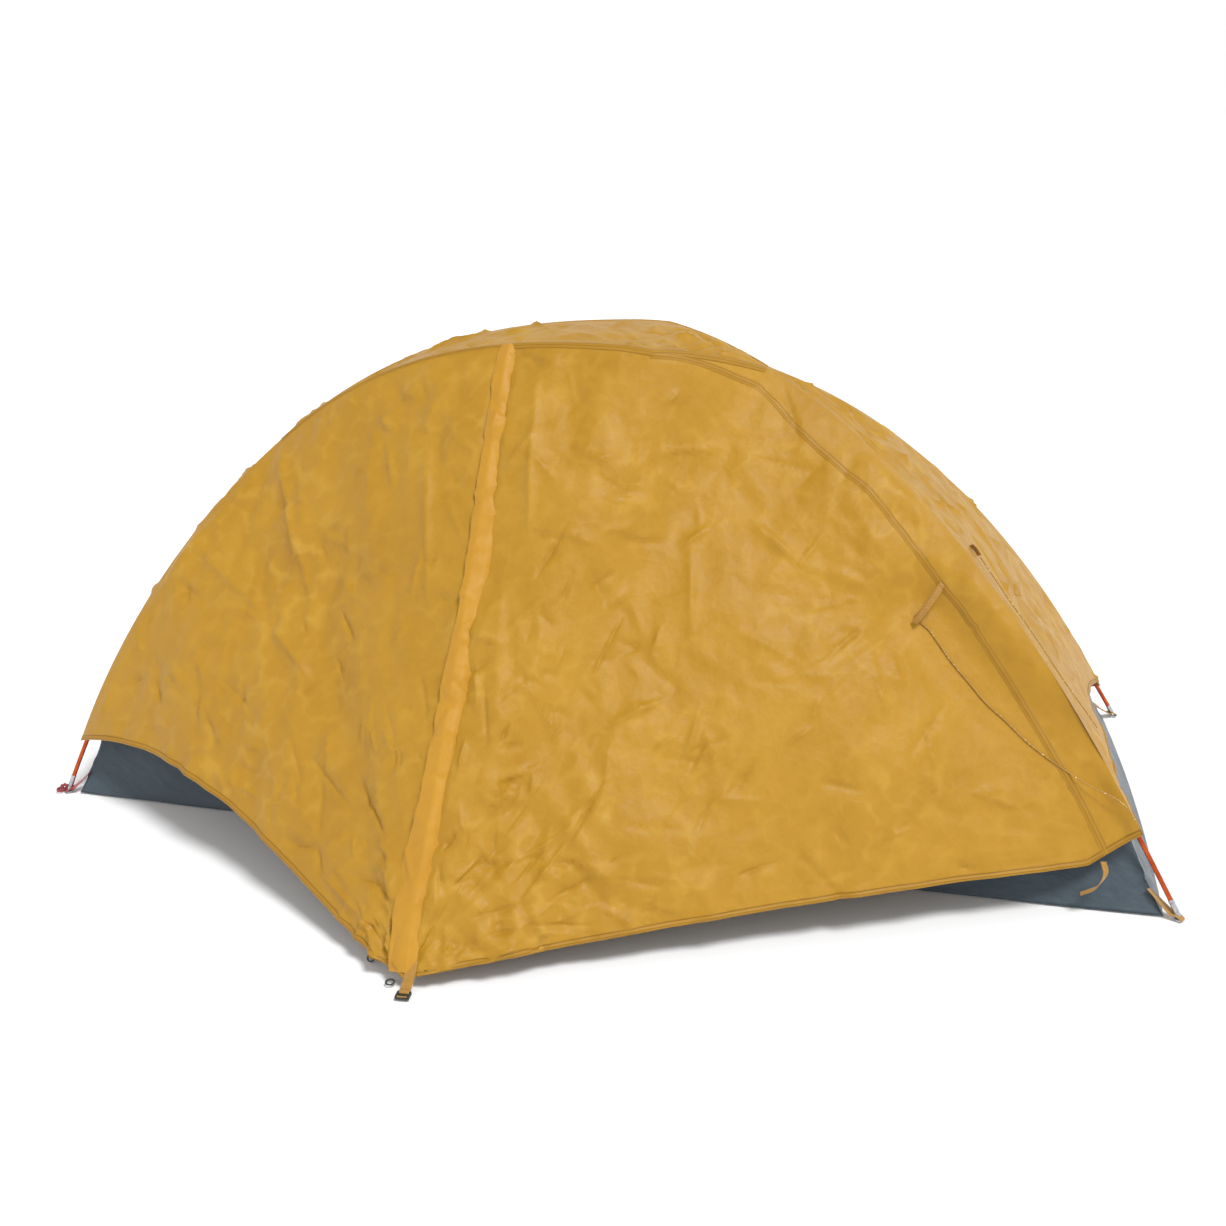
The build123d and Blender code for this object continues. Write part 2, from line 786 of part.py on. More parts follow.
def porch_stake_hardware():
    """Strap and ladder buckle at the porch's point, and the cord loops that take stakes."""
    corner = stake_point + door_normal() * 3 + Vector(5, 4, 3)
    save("porch_stake_strap", strip([corner, mix(corner, strap_end, 0.5), strap_end],
                                    Vector(webbing_width / 2, 0, 0), webbing_thickness))
    frame = RectangleRounded(buckle_width, buckle_length, 3)
    for y in (-5, 5):
        frame -= Pos(0, y) * RectangleRounded(*buckle_slot, 1)
    buckle = Pos(*buckle_centre) * extrude(frame, buckle_thickness / 2, both=True)
    save("ladder_buckle", buckle)
    loops = []
    for centre, lean in porch_loops:
        ring = (Cylinder(porch_loop_radius, porch_loop_thickness)
                - Cylinder(porch_loop_bore, porch_loop_thickness))
        loops.append(Plane(origin=centre, z_dir=lean) * ring)
    save("porch_cord_loops", *loops)


def guy_webbing():
    """Webbing loops sewn to the fly for the guy cords, and the tension tape at the near head hem."""
    near_start, near_end = guy_loop_near
    along = (near_end - near_start).normalized()
    across = along.cross(Vector(0, -0.93, 0.37)).normalized() * (guy_webbing_width / 2)
    save("guy_loop_porch_side", strip([near_start, mix(near_start, near_end, 0.5), near_end], across,
                                      guy_webbing_thickness))
    end_start, end_end = guy_loop_end
    along = (end_end - end_start).normalized()
    across = along.cross(Vector(0.75, 0, 0.66)).normalized() * (guy_webbing_width / 2)
    save("guy_loop_head_end", strip([end_start, mix(end_start, end_end, 0.5), end_end], across,
                                    guy_webbing_thickness))
    centres = [Vector(1003, -431, 104), Vector(1008, -437, 82), Vector(996, -441, 60), Vector(968, -444, 42)]
    acrosses = [Vector(5, 0, 0), Vector(4, 2, 1), Vector(1, 3.5, 2), Vector(0, 4, 1)]
    rows = [[c - a, c + a] for c, a in zip(centres, acrosses)]
    save("hem_tension_tape", panel(rows, webbing_thickness))


def cord(name, route):
    """Round cord of straight runs joined by arcs as large as the runs allow."""
    points = [Vector(*p) for p in route]
    radii = []
    for before, point, after in zip(points, points[1:], points[2:]):
        turn = math.radians((point - before).get_angle(after - point))
        shorter = min((point - before).length, (after - point).length)
        radii.append(0.45 * shorter / math.tan(turn / 2))
    path = FilletPolyline(*points, radius=radii)
    body = sweep(Plane(origin=path @ 0, z_dir=path % 0) * Circle(cord_radius), path=path)
    expected = math.pi * cord_radius**2 * path.length
    print(name, "length", round(path.length), "volume ratio", round(body.volume / expected, 4),
          "radii", [round(r) for r in radii])
    save(name, body)


def storm_flap():
    """Flap sewn to the door beside the zip and lying over it."""
    top, stake = zip_top(), stake_point
    along = (top - stake).normalized()
    out = (foot_normal() + door_normal()).normalized()
    to_door = square_to(along, door_corner - stake)
    to_foot = square_to(along, fly_edge(foot_corner_x, -1) - stake)
    low = stake + along * flap_low_gap
    high = top - along * flap_top_gap
    rows = []
    for part in (0, 0.5, 1):
        spine = mix(low, high, part)
        narrow = 1 - 0.35 * part
        rows.append([
            spine + to_door * (flap_inner * narrow) + door_normal() * 2.6,
            spine + to_door * 18 + door_normal() * 7,
            spine + out * flap_lift,
            spine - to_foot * (flap_outer * narrow) + foot_normal() * (flap_lift - 2),
        ])
    save("storm_flap", panel(rows, flap_thickness))


near_stations = crease_stations(head_near_corner_x)
far_stations = crease_stations(head_far_corner_x)
pole_runs = pole_frame()
cross_pole(pole_runs["ridge"])
canopy_clips(pole_runs)
bathtub_floor()
inner_canopy()
roof()
end_panel("fly_head_end", near_stations[-1 - head_leg_stations:], far_stations[-1 - head_leg_stations:],
          head_hem_arch)
end_panel("fly_foot_end", near_stations[foot_leg_stations::-1], far_stations[foot_leg_stations::-1],
          foot_hem_arch)
far_side()
porch_foot_panel()
head_shoulder()
porch_door()
porch_zip()
storm_flap()
corner_webbing()
porch_stake_hardware()
guy_webbing()
cord("guy_cord_porch_side", near_cord_route)
cord("guy_cord_head_end", end_cord_route)
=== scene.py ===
# %% [markdown]
# # One-person tent with a porch
# The CAD model holds the frame, the joints and plain sheets for the cloth. This lesson gives it its looks:
# crumpled coated cloth, seams, webbing, cords and metal, all in the same frame, in metres.

# %% Load the frame
import json
import math

import bmesh
import bpy
import numpy as np
from mathutils import Matrix, Vector

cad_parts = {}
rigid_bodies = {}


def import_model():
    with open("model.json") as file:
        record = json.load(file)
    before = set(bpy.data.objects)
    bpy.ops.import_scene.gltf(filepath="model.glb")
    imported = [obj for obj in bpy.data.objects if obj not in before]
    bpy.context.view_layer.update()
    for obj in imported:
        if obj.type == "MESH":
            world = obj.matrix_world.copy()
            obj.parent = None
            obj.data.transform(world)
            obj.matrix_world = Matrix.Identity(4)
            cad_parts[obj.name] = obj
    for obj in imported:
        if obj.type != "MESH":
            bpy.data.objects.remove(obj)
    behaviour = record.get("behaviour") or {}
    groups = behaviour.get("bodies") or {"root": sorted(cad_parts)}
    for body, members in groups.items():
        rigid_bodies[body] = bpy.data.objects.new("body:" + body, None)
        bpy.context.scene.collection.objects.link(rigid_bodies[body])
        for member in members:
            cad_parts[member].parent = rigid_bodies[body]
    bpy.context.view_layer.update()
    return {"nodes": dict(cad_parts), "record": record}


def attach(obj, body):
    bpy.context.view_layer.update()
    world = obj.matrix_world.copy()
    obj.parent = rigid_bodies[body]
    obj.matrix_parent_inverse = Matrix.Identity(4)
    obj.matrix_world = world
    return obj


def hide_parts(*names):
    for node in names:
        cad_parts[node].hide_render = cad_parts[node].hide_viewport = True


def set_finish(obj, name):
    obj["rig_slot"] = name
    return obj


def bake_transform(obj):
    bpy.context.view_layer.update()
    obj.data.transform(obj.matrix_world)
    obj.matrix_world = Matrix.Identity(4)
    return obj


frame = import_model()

# %% [markdown]
# ## Camera, light and floor
# The tent is seen from its porch side, from standing height, with a normal lens. One soft sun stands high and
# to the right, a weak lamp fills from the left, and the world is bright at the horizon and dimmer overhead.

# %% Camera
EYE = Vector((0.511, -3.019, 1.601))
HEADING = -0.162
DOWNWARD = 0.380
TILT = -0.011
FOCAL_SHARE = 1.2568
SENSOR = 36.0


def point_camera(eye, heading, downward, tilt):
    """Camera turned from looking along +Y: heading to the right, then downward, then tilted."""
    forward = Vector((math.sin(heading) * math.cos(downward), math.cos(heading) * math.cos(downward),
                      -math.sin(downward)))
    level = Vector((math.cos(heading), -math.sin(heading), 0))
    above = level.cross(forward)
    right = level * math.cos(tilt) + above * math.sin(tilt)
    up = above * math.cos(tilt) - level * math.sin(tilt)
    turned = Matrix((right, up, -forward)).transposed()
    return Matrix.Translation(eye) @ turned.to_4x4()


camera_data = bpy.data.cameras.new("camera")
camera_data.sensor_width = SENSOR
camera_data.lens = FOCAL_SHARE * SENSOR
camera = bpy.data.objects.new("camera", camera_data)
bpy.context.scene.collection.objects.link(camera)
camera.matrix_world = point_camera(EYE, HEADING, DOWNWARD, TILT)
bpy.context.scene.camera = camera


# %% Small helpers
def hex_colour(text, alpha=1.0):
    """sRGB hex to the linear colour that shaders use."""
    channels = [int(text[i:i + 2], 16) / 255 for i in (1, 3, 5)]
    linear = [c / 12.92 if c <= 0.04045 else ((c + 0.055) / 1.055) ** 2.4 for c in channels]
    return (*linear, alpha)


def add_node(material, kind, settings=None, links=None, **values):
    """Add a shader node: settings are its properties, values its sockets, links come from other nodes."""
    tree = material.node_tree
    node = tree.nodes.new(kind)
    for key, value in (settings or {}).items():
        setattr(node, key, value)
    for key, value in values.items():
        node.inputs[key.replace("_", " ")].default_value = value
    for key, source in (links or {}).items():
        tree.links.new(source, node.inputs[key])
    return node


def nothing_selected():
    bpy.ops.object.select_all(action="DESELECT")
    bpy.context.view_layer.objects.active = None


# %% Light and floor
def area_light(name, place, aim, size, power, colour="#FFFFFF"):
    light = bpy.data.lights.new(name, "AREA")
    light.shape = "DISK"
    light.size = size
    light.energy = power
    light.color = hex_colour(colour)[:3]
    lamp = bpy.data.objects.new(name, light)
    bpy.context.scene.collection.objects.link(lamp)
    lamp.location = place
    lamp.rotation_euler = (Vector(aim) - Vector(place)).to_track_quat("-Z", "Y").to_euler()
    return lamp


soft_sun = bpy.data.lights.new("key", "SUN")
soft_sun.energy = 2.5
soft_sun.angle = 0.30
key = bpy.data.objects.new("key", soft_sun)
bpy.context.scene.collection.objects.link(key)
key.rotation_euler = Vector((0.42, -0.30, 1.0)).to_track_quat("Z", "Y").to_euler()
area_light("fill", (-2.4, -3.0, 2.2), (0, 0, 0.4), 2.5, 12)

HORIZON_STRENGTH = 1.0
ZENITH_STRENGTH = 0.42
world = bpy.data.worlds.new("studio")
world.use_nodes = True
bpy.context.scene.world = world
backdrop = world.node_tree.nodes["Background"]
sky = world.node_tree.nodes.new("ShaderNodeTexCoord")
split = world.node_tree.nodes.new("ShaderNodeSeparateXYZ")
fade = world.node_tree.nodes.new("ShaderNodeMapRange")
fade.inputs["From Min"].default_value = 0.35
fade.inputs["From Max"].default_value = 0.75
fade.inputs["To Min"].default_value = HORIZON_STRENGTH
fade.inputs["To Max"].default_value = ZENITH_STRENGTH
world.node_tree.links.new(sky.outputs["Generated"], split.inputs["Vector"])
world.node_tree.links.new(split.outputs["Z"], fade.inputs["Value"])
world.node_tree.links.new(fade.outputs["Result"], backdrop.inputs["Strength"])
backdrop.inputs["Color"].default_value = hex_colour("#FFFFFF")
bpy.context.scene.view_settings.view_transform = "Standard"

nothing_selected()
bpy.ops.mesh.primitive_plane_add(size=40, location=(0, 0, -0.001))
floor = bpy.context.object
floor.name = "studio_floor"
paper = bpy.data.materials.new("pale_paper")
paper.use_nodes = True
paper.node_tree.nodes["Principled BSDF"].inputs["Base Color"].default_value = hex_colour("#F7F7F7")
paper.node_tree.nodes["Principled BSDF"].inputs["Roughness"].default_value = 0.9
floor.data.materials.append(paper)

# %% [markdown]
# ## Guy cords
# Two limp braided cords, 2.5 mm thick, are stowed against the fly: each runs from its webbing loop down over
# the crumpled cloth. Only the run that shows is here, and its length is that of its route.

# %% Guy cords
CORD_DIAMETER = 0.0025
NEAR_CORD = ((0.641, -0.276, 0.507), (0.660, -0.279, 0.498), (0.684, -0.289, 0.468), (0.712, -0.306, 0.434),
             (0.745, -0.319, 0.402), (0.776, -0.332, 0.368), (0.814, -0.343, 0.341), (0.852, -0.357, 0.307),
             (0.893, -0.367, 0.280), (0.934, -0.377, 0.256), (0.974, -0.384, 0.234), (1.014, -0.390, 0.221),
             (1.046, -0.396, 0.200), (1.060, -0.405, 0.173))
END_CORD = ((0.758, -0.167, 0.600), (0.777, -0.197, 0.580), (0.806, -0.233, 0.548), (0.840, -0.256, 0.508),
            (0.876, -0.276, 0.464), (0.910, -0.290, 0.417), (0.944, -0.288, 0.371), (0.972, -0.270, 0.330),
            (0.994, -0.254, 0.296))


def cord_curve(name, route):
    """Round cord along a smooth line through its route's points."""
    curve = bpy.data.curves.new(name, "CURVE")
    curve.dimensions = "3D"
    curve.bevel_depth = 1.0
    curve.bevel_resolution = 5
    curve.use_fill_caps = True
    line = curve.splines.new("NURBS")
    line.points.add(len(route) - 1)
    for point, place in zip(line.points, route):
        point.co = (*place, 1)
        point.radius = CORD_DIAMETER / 2
    line.order_u = 3
    line.use_endpoint_u = True
    line.resolution_u = 8
    piece = bpy.data.objects.new(name, curve)
    bpy.context.scene.collection.objects.link(piece)
    length = sum(math.dist(a, b) for a, b in zip(route, route[1:]))
    print(name, "route", round(length, 3), "m")
    return piece, length


near_cord, near_cord_length = cord_curve("guy_cord_porch_line", NEAR_CORD)
end_cord, end_cord_length = cord_curve("guy_cord_head_line", END_CORD)
for piece, length, route, node in ((near_cord, near_cord_length, NEAR_CORD, "guy_cord_porch_side"),
                                   (end_cord, end_cord_length, END_CORD, "guy_cord_head_end")):
    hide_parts(node)
    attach(piece, "tent")
    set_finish(piece, "gold_cord")

# %% [markdown]
# ## The tent's own lines
# Everything in the fly follows one arch: the ridge pole between the hubs, and two legs beyond each hub.

# %% The arch and the creases
HALF_LENGTH = 1.150
PEAK_X = 0.036
PEAK_HEIGHT = 0.983
FOOT_CURVE = (2.504, 1.212)
HEAD_CURVE = (2.013, 1.067)
FOOT_HUB = -0.685
HEAD_HUB = 0.332
FOOT_SPREAD = 0.260
HEAD_SPREAD = 0.443
FOOT_LEG_BOW = 0.25
HUB_HALF = 0.014
CROSS_X = 0.121
CROSS_HALF = 0.140
FOOT_CORNER = -1.112
HEAD_NEAR_CORNER = 1.072
HEAD_FAR_CORNER = 1.108
ZIP_TOP = -0.165
STAKE = np.array((-0.215, -0.857, 0.022))
DOOR_CORNER = np.array((0.980, -0.430, 0.095))


def arch_height(x):
    """Height of the fly along the arch."""
    x = np.asarray(x, float)
    towards_foot = x < PEAK_X
    reach = np.where(towards_foot, HALF_LENGTH + PEAK_X, HALF_LENGTH - PEAK_X)
    power = np.where(towards_foot, FOOT_CURVE[0], HEAD_CURVE[0])
    root = np.where(towards_foot, FOOT_CURVE[1], HEAD_CURVE[1])
    fall = np.minimum(1, (np.abs(x - PEAK_X) / reach) ** power)
    return PEAK_HEIGHT * (1 - fall) ** (1 / root)


def leg_spread(x):
    """Distance of a leg from the tent's middle."""
    x = np.asarray(x, float)
    head = HEAD_SPREAD * (x - HEAD_HUB) / (HALF_LENGTH - HEAD_HUB)
    part = (FOOT_HUB - x) / (HALF_LENGTH + FOOT_HUB)
    foot = FOOT_SPREAD * ((1 + FOOT_LEG_BOW) * part - FOOT_LEG_BOW * part**2)
    return np.where(x > HEAD_HUB, head, np.where(x < FOOT_HUB, foot, 0))


def crease(x, side):
    """The fly's crease: edge of the roof strip between the hubs, hip over a leg beyond them."""
    x = np.asarray(x, float)
    roof = np.interp(x, (FOOT_HUB, CROSS_X, HEAD_HUB), (HUB_HALF, CROSS_HALF, HUB_HALF))
    hip = np.hypot(leg_spread(x), HUB_HALF)
    between = (x > FOOT_HUB) & (x < HEAD_HUB)
    return np.stack([x, side * np.where(between, roof, hip), arch_height(x)], axis=-1)


def even_stations(line, start, end, count):
    """Parameter values that divide a line into equal lengths."""
    fine = np.linspace(start, end, 4000)
    steps = np.linalg.norm(np.diff(line(fine), axis=0), axis=1)
    run = np.concatenate([[0], np.cumsum(steps)])
    return np.interp(np.linspace(0, run[-1], count + 1), run, fine)


def mix(start, end, part):
    return start + (end - start) * part


# %% [markdown]
# ## How coated cloth creases
# A fly is thin, coated and packed tightly, so it never hangs smooth: it keeps long soft swells between its
# seams, sharp packing creases in all directions, and pulls that fan out from wherever it is held. Each of
# these is a small function of the place in metres, so that the cloth is the same on every run.

# %% Noise
def lattice(cells, seed, channel):
    """Pseudo-random numbers from -1 to 1, one for each cell of a lattice."""
    x, y, z = (cells[..., k].astype(np.int64) for k in range(3))
    mixed = (x * 73856093) ^ (y * 19349663) ^ (z * 83492791) ^ (seed * 2654435 + channel * 97531)
    mixed = (mixed ^ (mixed >> 13)) * 1274126177 & 0x7FFFFFFF
    mixed = (mixed ^ (mixed >> 16)) * 668265263 & 0x7FFFFFFF
    return (mixed >> 8) / 4194303.5 - 1


def soft_noise(points, size, seed):
    """Smooth noise from about -1 to 1 whose swells are about `size` metres across."""
    place = np.asarray(points, float) / size + 100
    cell = np.floor(place).astype(np.int64)
    part = place - cell
    ease = part**3 * (part * (part * 6 - 15) + 10)
    total = 0
    for corner in np.ndindex(2, 2, 2):
        offset = np.array(corner)
        slope = np.stack([lattice(cell + offset, seed, k) for k in range(3)], axis=-1)
        height = (slope * (part - offset)).sum(axis=-1)
        weight = np.where(offset, ease, 1 - ease).prod(axis=-1)
        total = total + height * weight
    return total * 1.4


def packing_creases(points, size, seed, grain=(0, 0, 1), stretch=0.35):
    """Crumpled cloth: flat facets that meet in sharp creases, longer along the grain. About -1 to 1.

    Random heights on a lattice, joined by flat pieces. Each point lies in the tetrahedron whose corners
    are reached by stepping along its largest part first.
    """
    grain = np.array(grain) / np.linalg.norm(grain)
    points = points - (points @ grain)[..., None] * grain * stretch
    turn = Matrix.Rotation(1.1 * seed, 3, Vector((1, 0.7, -0.4))) @ Matrix.Rotation(0.7 * seed, 3, "Z")
    drift = np.stack([soft_noise(points, size * 1.7, seed + k) for k in (1, 2, 3)], axis=-1)
    place = points @ np.array(turn) / size + drift * 0.30 + 100
    cell = np.floor(place).astype(np.int64)
    part = place - cell
    order = np.argsort(-part, axis=-1)
    ranked = np.take_along_axis(part, order, axis=-1)
    bounds = np.concatenate([np.ones_like(ranked[..., :1]), ranked, np.zeros_like(ranked[..., :1])], axis=-1)
    height = 0
    corner = cell.copy()
    for k in range(4):
        height = height + lattice(corner, seed, 0) * (bounds[..., k] - bounds[..., k + 1])
        if k < 3:
            np.put_along_axis(corner, order[..., k:k + 1],
                              np.take_along_axis(corner, order[..., k:k + 1], axis=-1) + 1, axis=-1)
    return height


# %% Pulls and folds
def fan(points, centre, down, normal, count, reach, seed):
    """Folds that fan out from a point where the cloth is held."""
    away = points - np.array(centre)
    down = np.array(down) / np.linalg.norm(down)
    side = np.cross(normal, down)
    angle = np.arctan2(away @ side, away @ down)
    far = np.linalg.norm(away, axis=-1)
    wander = soft_noise(points, 0.15, seed) * 0.05
    waves = np.stack([angle * count + wander * count * 0.4 + seed, far * 1.5, far * 0], axis=-1)
    strength = (far / reach) * np.exp(1 - far / reach)
    ridge = 1 - 2.2 * np.abs(soft_noise(waves, 1.0, seed))
    return ridge * strength


FOLD_STRENGTH = 1.7
CREASE_WIDTH = 0.0055


def fold(points, start, end, depth, width):
    """One straight crease from start to end, sharp at its middle and fading at its ends."""
    start, end = np.array(start), np.array(end)
    run = end - start
    part = np.clip(((points - start) @ run) / (run @ run), 0, 1)
    gap = np.linalg.norm(points - (start + part[..., None] * run), axis=-1)
    return FOLD_STRENGTH * depth * np.exp(-gap / width) * np.sqrt(np.sin(np.pi * np.clip(part, 0.02, 0.98)))


def grid_normals(points, outward):
    """Unit normals of a grid of points, on the side that faces away from `outward`."""
    along = np.gradient(points, axis=0)
    across = np.gradient(points, axis=1)
    normal = np.cross(along, across)
    length = np.linalg.norm(normal, axis=-1, keepdims=True)
    normal = normal / np.maximum(length, 1e-12)
    facing = (normal * (points - np.array(outward))).sum(axis=-1).mean()
    return normal if facing > 0 else -normal


def run_along(points, axis):
    """Distance from the grid's first row or column, along it."""
    steps = np.linalg.norm(np.diff(points, axis=axis), axis=-1)
    run = np.cumsum(steps, axis=axis)
    start = np.zeros_like(np.take(run, [0], axis=axis))
    return np.concatenate([start, run], axis=axis)


def seam_fade(points, held, reach=0.03):
    """0 on each held edge and 1 further in. held names the edges: first, last, left and right."""
    down = run_along(points, 0)
    over = run_along(points, 1)
    gaps = {"first": down, "last": down[-1:] - down, "left": over, "right": over[:, -1:] - over}
    fade = np.ones(points.shape[:2])
    for name, gap in gaps.items():
        if name in held:
            part = np.clip(gap / reach, 0, 1)
            fade = fade * (part * part * (3 - 2 * part))
    return fade


PRESS_REACH = 0.10
PRESS_SPREAD = 0.030
CORD_GAP = 0.0022
CORD_BED = 0.007


def under_cord(points, normal, route, gap):
    """Lower the cloth to a cord's route, so that the cord lies on it: first broadly, then closely."""
    line = np.concatenate([mix(np.array(a), np.array(b), np.linspace(0, 1, 8)[:, None])
                           for a, b in zip(route, route[1:])])
    middle, reach = line.mean(axis=0), np.ptp(line, axis=0).max()
    close = np.linalg.norm(points - middle, axis=-1) < reach
    moved = points.copy()
    for spread, width in ((PRESS_SPREAD, PRESS_REACH), (CORD_BED / 2, CORD_BED)):
        away = line[None] - moved[close][:, None]
        height = (away * normal[close][:, None]).sum(axis=-1)
        flat_gap = np.sqrt(np.maximum((away**2).sum(axis=-1) - height**2, 0))
        weight = np.exp(-(flat_gap / spread)**2) + 1e-9
        short = np.clip(gap - (weight * height).sum(axis=1) / weight.sum(axis=1), 0, 0.06)
        near = np.clip(1.3 - flat_gap.min(axis=1) / width, 0, 1)
        moved[close] = moved[close] - normal[close] * (short * near * near * (3 - 2 * near))[:, None]
    return moved


def random_share(number, seed):
    """Repeatable number from 0 to 1."""
    return float(lattice(np.array((number, seed, 7)), seed, 1)) / 2 + 0.5


def sharp_creases(points, normal, count, seed, depth=0.0036):
    """Short sharp creases in every direction, as in a fly that has been stuffed into its bag."""
    rows, columns = points.shape[:2]
    lift = np.zeros((rows, columns))
    for k in range(count):
        row = int(random_share(5 * k, seed) * (rows - 1))
        column = int(random_share(5 * k + 1, seed)**0.8 * (columns - 1))
        turn = random_share(5 * k + 2, seed) * math.tau
        across = np.cross(normal[row, column], (0.1, 0.2, 1))
        across = across / np.linalg.norm(across)
        way = across * math.cos(turn) + np.cross(normal[row, column], across) * math.sin(turn)
        half = (0.018 + 0.060 * random_share(5 * k + 3, seed)**2) * way
        rise = depth * (0.5 + random_share(5 * k + 4, seed)) * (1 if k % 2 else -1)
        lift = lift + fold(points, points[row, column] - half, points[row, column] + half, rise, CREASE_WIDTH)
    return lift


def crumple(points, held, seed, extra=None, strength=1.0, swell=1.0, creases=60):
    """Move a grid of cloth off its smooth form. Returns the cloth and how much each point is creased."""
    normal = grid_normals(points, INSIDE)
    lift = 0.0040 * swell * soft_noise(points, 0.30, seed)
    patches = np.clip(0.6 + 0.9 * soft_noise(points, 0.24, seed + 30), 0.15, 1.3)
    for size, depth, number in ((0.19, 0.0095, 40), (0.095, 0.0085, 50), (0.048, 0.0048, 60),
                                (0.026, 0.0018, 70)):
        rough = patches if size < 0.15 else 1
        lift = lift + strength * rough * depth * packing_creases(points, size, seed + number)
    lift = lift + sharp_creases(points, normal, creases, seed)
    if extra is not None:
        lift = lift + extra
    fade = seam_fade(points, held)
    return points + normal * (lift * fade)[..., None], patches * fade


INSIDE = (0.0, 0.0, 0.25)


# %% [markdown]
# ## From grids of points to cloth
# A panel is a grid of points on the tent's own curves. Grids that share a seam share its points, so they
# are welded into one sheet. Each point also keeps its place on the flat cloth in metres, as a UV map, so a
# weave or a stitch is the right size and stays on the cloth when the door moves.

# %% Mesh from grids
def relaxed(points, rounds):
    """Let a grid of cloth points settle between its held edges."""
    points = points.copy()
    for _ in range(rounds):
        inner = (points[:-2, 1:-1] + points[2:, 1:-1] + points[1:-1, :-2] + points[1:-1, 2:]) / 4
        points[1:-1, 1:-1] = inner
    return points


def flat_place(points, normal):
    """Where each point lies on the flat cloth, in metres, seen along the panel's main normal."""
    normal = np.array(normal) / np.linalg.norm(normal)
    across = np.cross((0, 0, 1), normal)
    across = across / np.linalg.norm(across)
    up = np.cross(normal, across)
    return np.stack([points @ across, points @ up], axis=-1)


def strip_place(points):
    """Distance along a strip and across it from its first column, in metres."""
    along = run_along(points, 0)[:, points.shape[1] // 2][:, None] * np.ones(points.shape[1])
    return np.stack([along, run_along(points, 1)], axis=-1)


def grid_mesh(name, grids, places, marks=None, weld=True):
    """One mesh from several grids of points, welded where their edges meet."""
    vertices = np.concatenate([g.reshape(-1, 3) for g in grids])
    flat = np.concatenate([p.reshape(-1, 2) for p in places])
    faces = []
    first = 0
    for g in grids:
        rows, columns = g.shape[:2]
        corner = first + np.arange((rows - 1) * columns).reshape(rows - 1, columns)[:, :-1]
        quads = np.stack([corner, corner + 1, corner + columns + 1, corner + columns], axis=-1)
        faces.append(quads.reshape(-1, 4))
        first += rows * columns
    faces = np.concatenate(faces)
    mesh = bpy.data.meshes.new(name)
    mesh.from_pydata(vertices.tolist(), [], faces.tolist())
    layer = mesh.uv_layers.new(name="cloth")
    layer.data.foreach_set("uv", flat[faces.ravel()].ravel())
    creased = mesh.attributes.new("creased", "FLOAT", "POINT")
    values = np.zeros(len(vertices)) if marks is None else np.concatenate([m.ravel() for m in marks])
    creased.data.foreach_set("value", values)
    build = bmesh.new()
    build.from_mesh(mesh)
    if weld:
        bmesh.ops.remove_doubles(build, verts=build.verts, dist=2e-5)
        bmesh.ops.dissolve_degenerate(build, edges=build.edges, dist=1e-6)
    bmesh.ops.recalc_face_normals(build, faces=build.faces)
    build.to_mesh(mesh)
    build.free()
    mesh.polygons.foreach_set("use_smooth", [True] * len(mesh.polygons))
    piece = bpy.data.objects.new(name, mesh)
    bpy.context.scene.collection.objects.link(piece)
    area = sum(p.area for p in mesh.polygons)
    print(name, len(mesh.polygons), "faces", round(area, 3), "m2")
    return piece


def smooth_line(points, count):
    """A smooth line through a few points, with `count` points at even spacing."""
    points = np.array(points, float)
    padded = np.concatenate([[2 * points[0] - points[1]], points, [2 * points[-1] - points[-2]]])
    fine = []
    for a, b, c, d in zip(padded, padded[1:], padded[2:], padded[3:]):
        for t in np.linspace(0, 1, 24, endpoint=False):
            fine.append(0.5 * (2 * b + (c - a) * t + (2 * a - 5 * b + 4 * c - d) * t**2
                               + (3 * b - a - 3 * c + d) * t**3))
    fine = np.array(fine + [points[-1]])
    run = np.concatenate([[0], np.cumsum(np.linalg.norm(np.diff(fine, axis=0), axis=1))])
    goal = np.linspace(0, run[-1], count)
    return np.stack([np.interp(goal, run, fine[:, k]) for k in range(3)], axis=-1)


# %% [markdown]
# ## Rain fly
# The fly is one cut of golden cloth over the poles. Its foot end, head end, roof strip, far side and the
# porch panel on the foot side of the zip are sewn together and never part, so they are one sheet. The panel
# on the head side of the zip folds back with the porch door, so it is a sheet of its own.

# %% Stations along the creases
CLOTH_STEP = 0.0070
DOOR_STEP = 0.0046
FOOT_HEM_ARCH = 0.12
HEAD_HEM_ARCH = 0.105
NEAR_HEM_ARCH = 0.10
FAR_HEM_BOW = 0.060
FAR_HEM_DROP = 0.025


def crease_stations(start, end, step):
    length = np.linalg.norm(np.diff(crease(np.linspace(start, end, 2000), 1), axis=0), axis=1).sum()
    return even_stations(lambda x: crease(x, 1), start, end, round(length / step))


foot_leg = crease_stations(FOOT_CORNER, FOOT_HUB, CLOTH_STEP)
roof_foot = crease_stations(FOOT_HUB, ZIP_TOP, CLOTH_STEP)
roof_middle = crease_stations(ZIP_TOP, CROSS_X, CLOTH_STEP)
roof_head = crease_stations(CROSS_X, HEAD_HUB, CLOTH_STEP)
head_leg_near = crease_stations(HEAD_HUB, HEAD_NEAR_CORNER, CLOTH_STEP)
head_leg_far = even_stations(lambda x: crease(x, 1), HEAD_HUB, HEAD_FAR_CORNER, len(head_leg_near) - 1)
roof = np.concatenate([roof_foot, roof_middle[1:], roof_head[1:]])


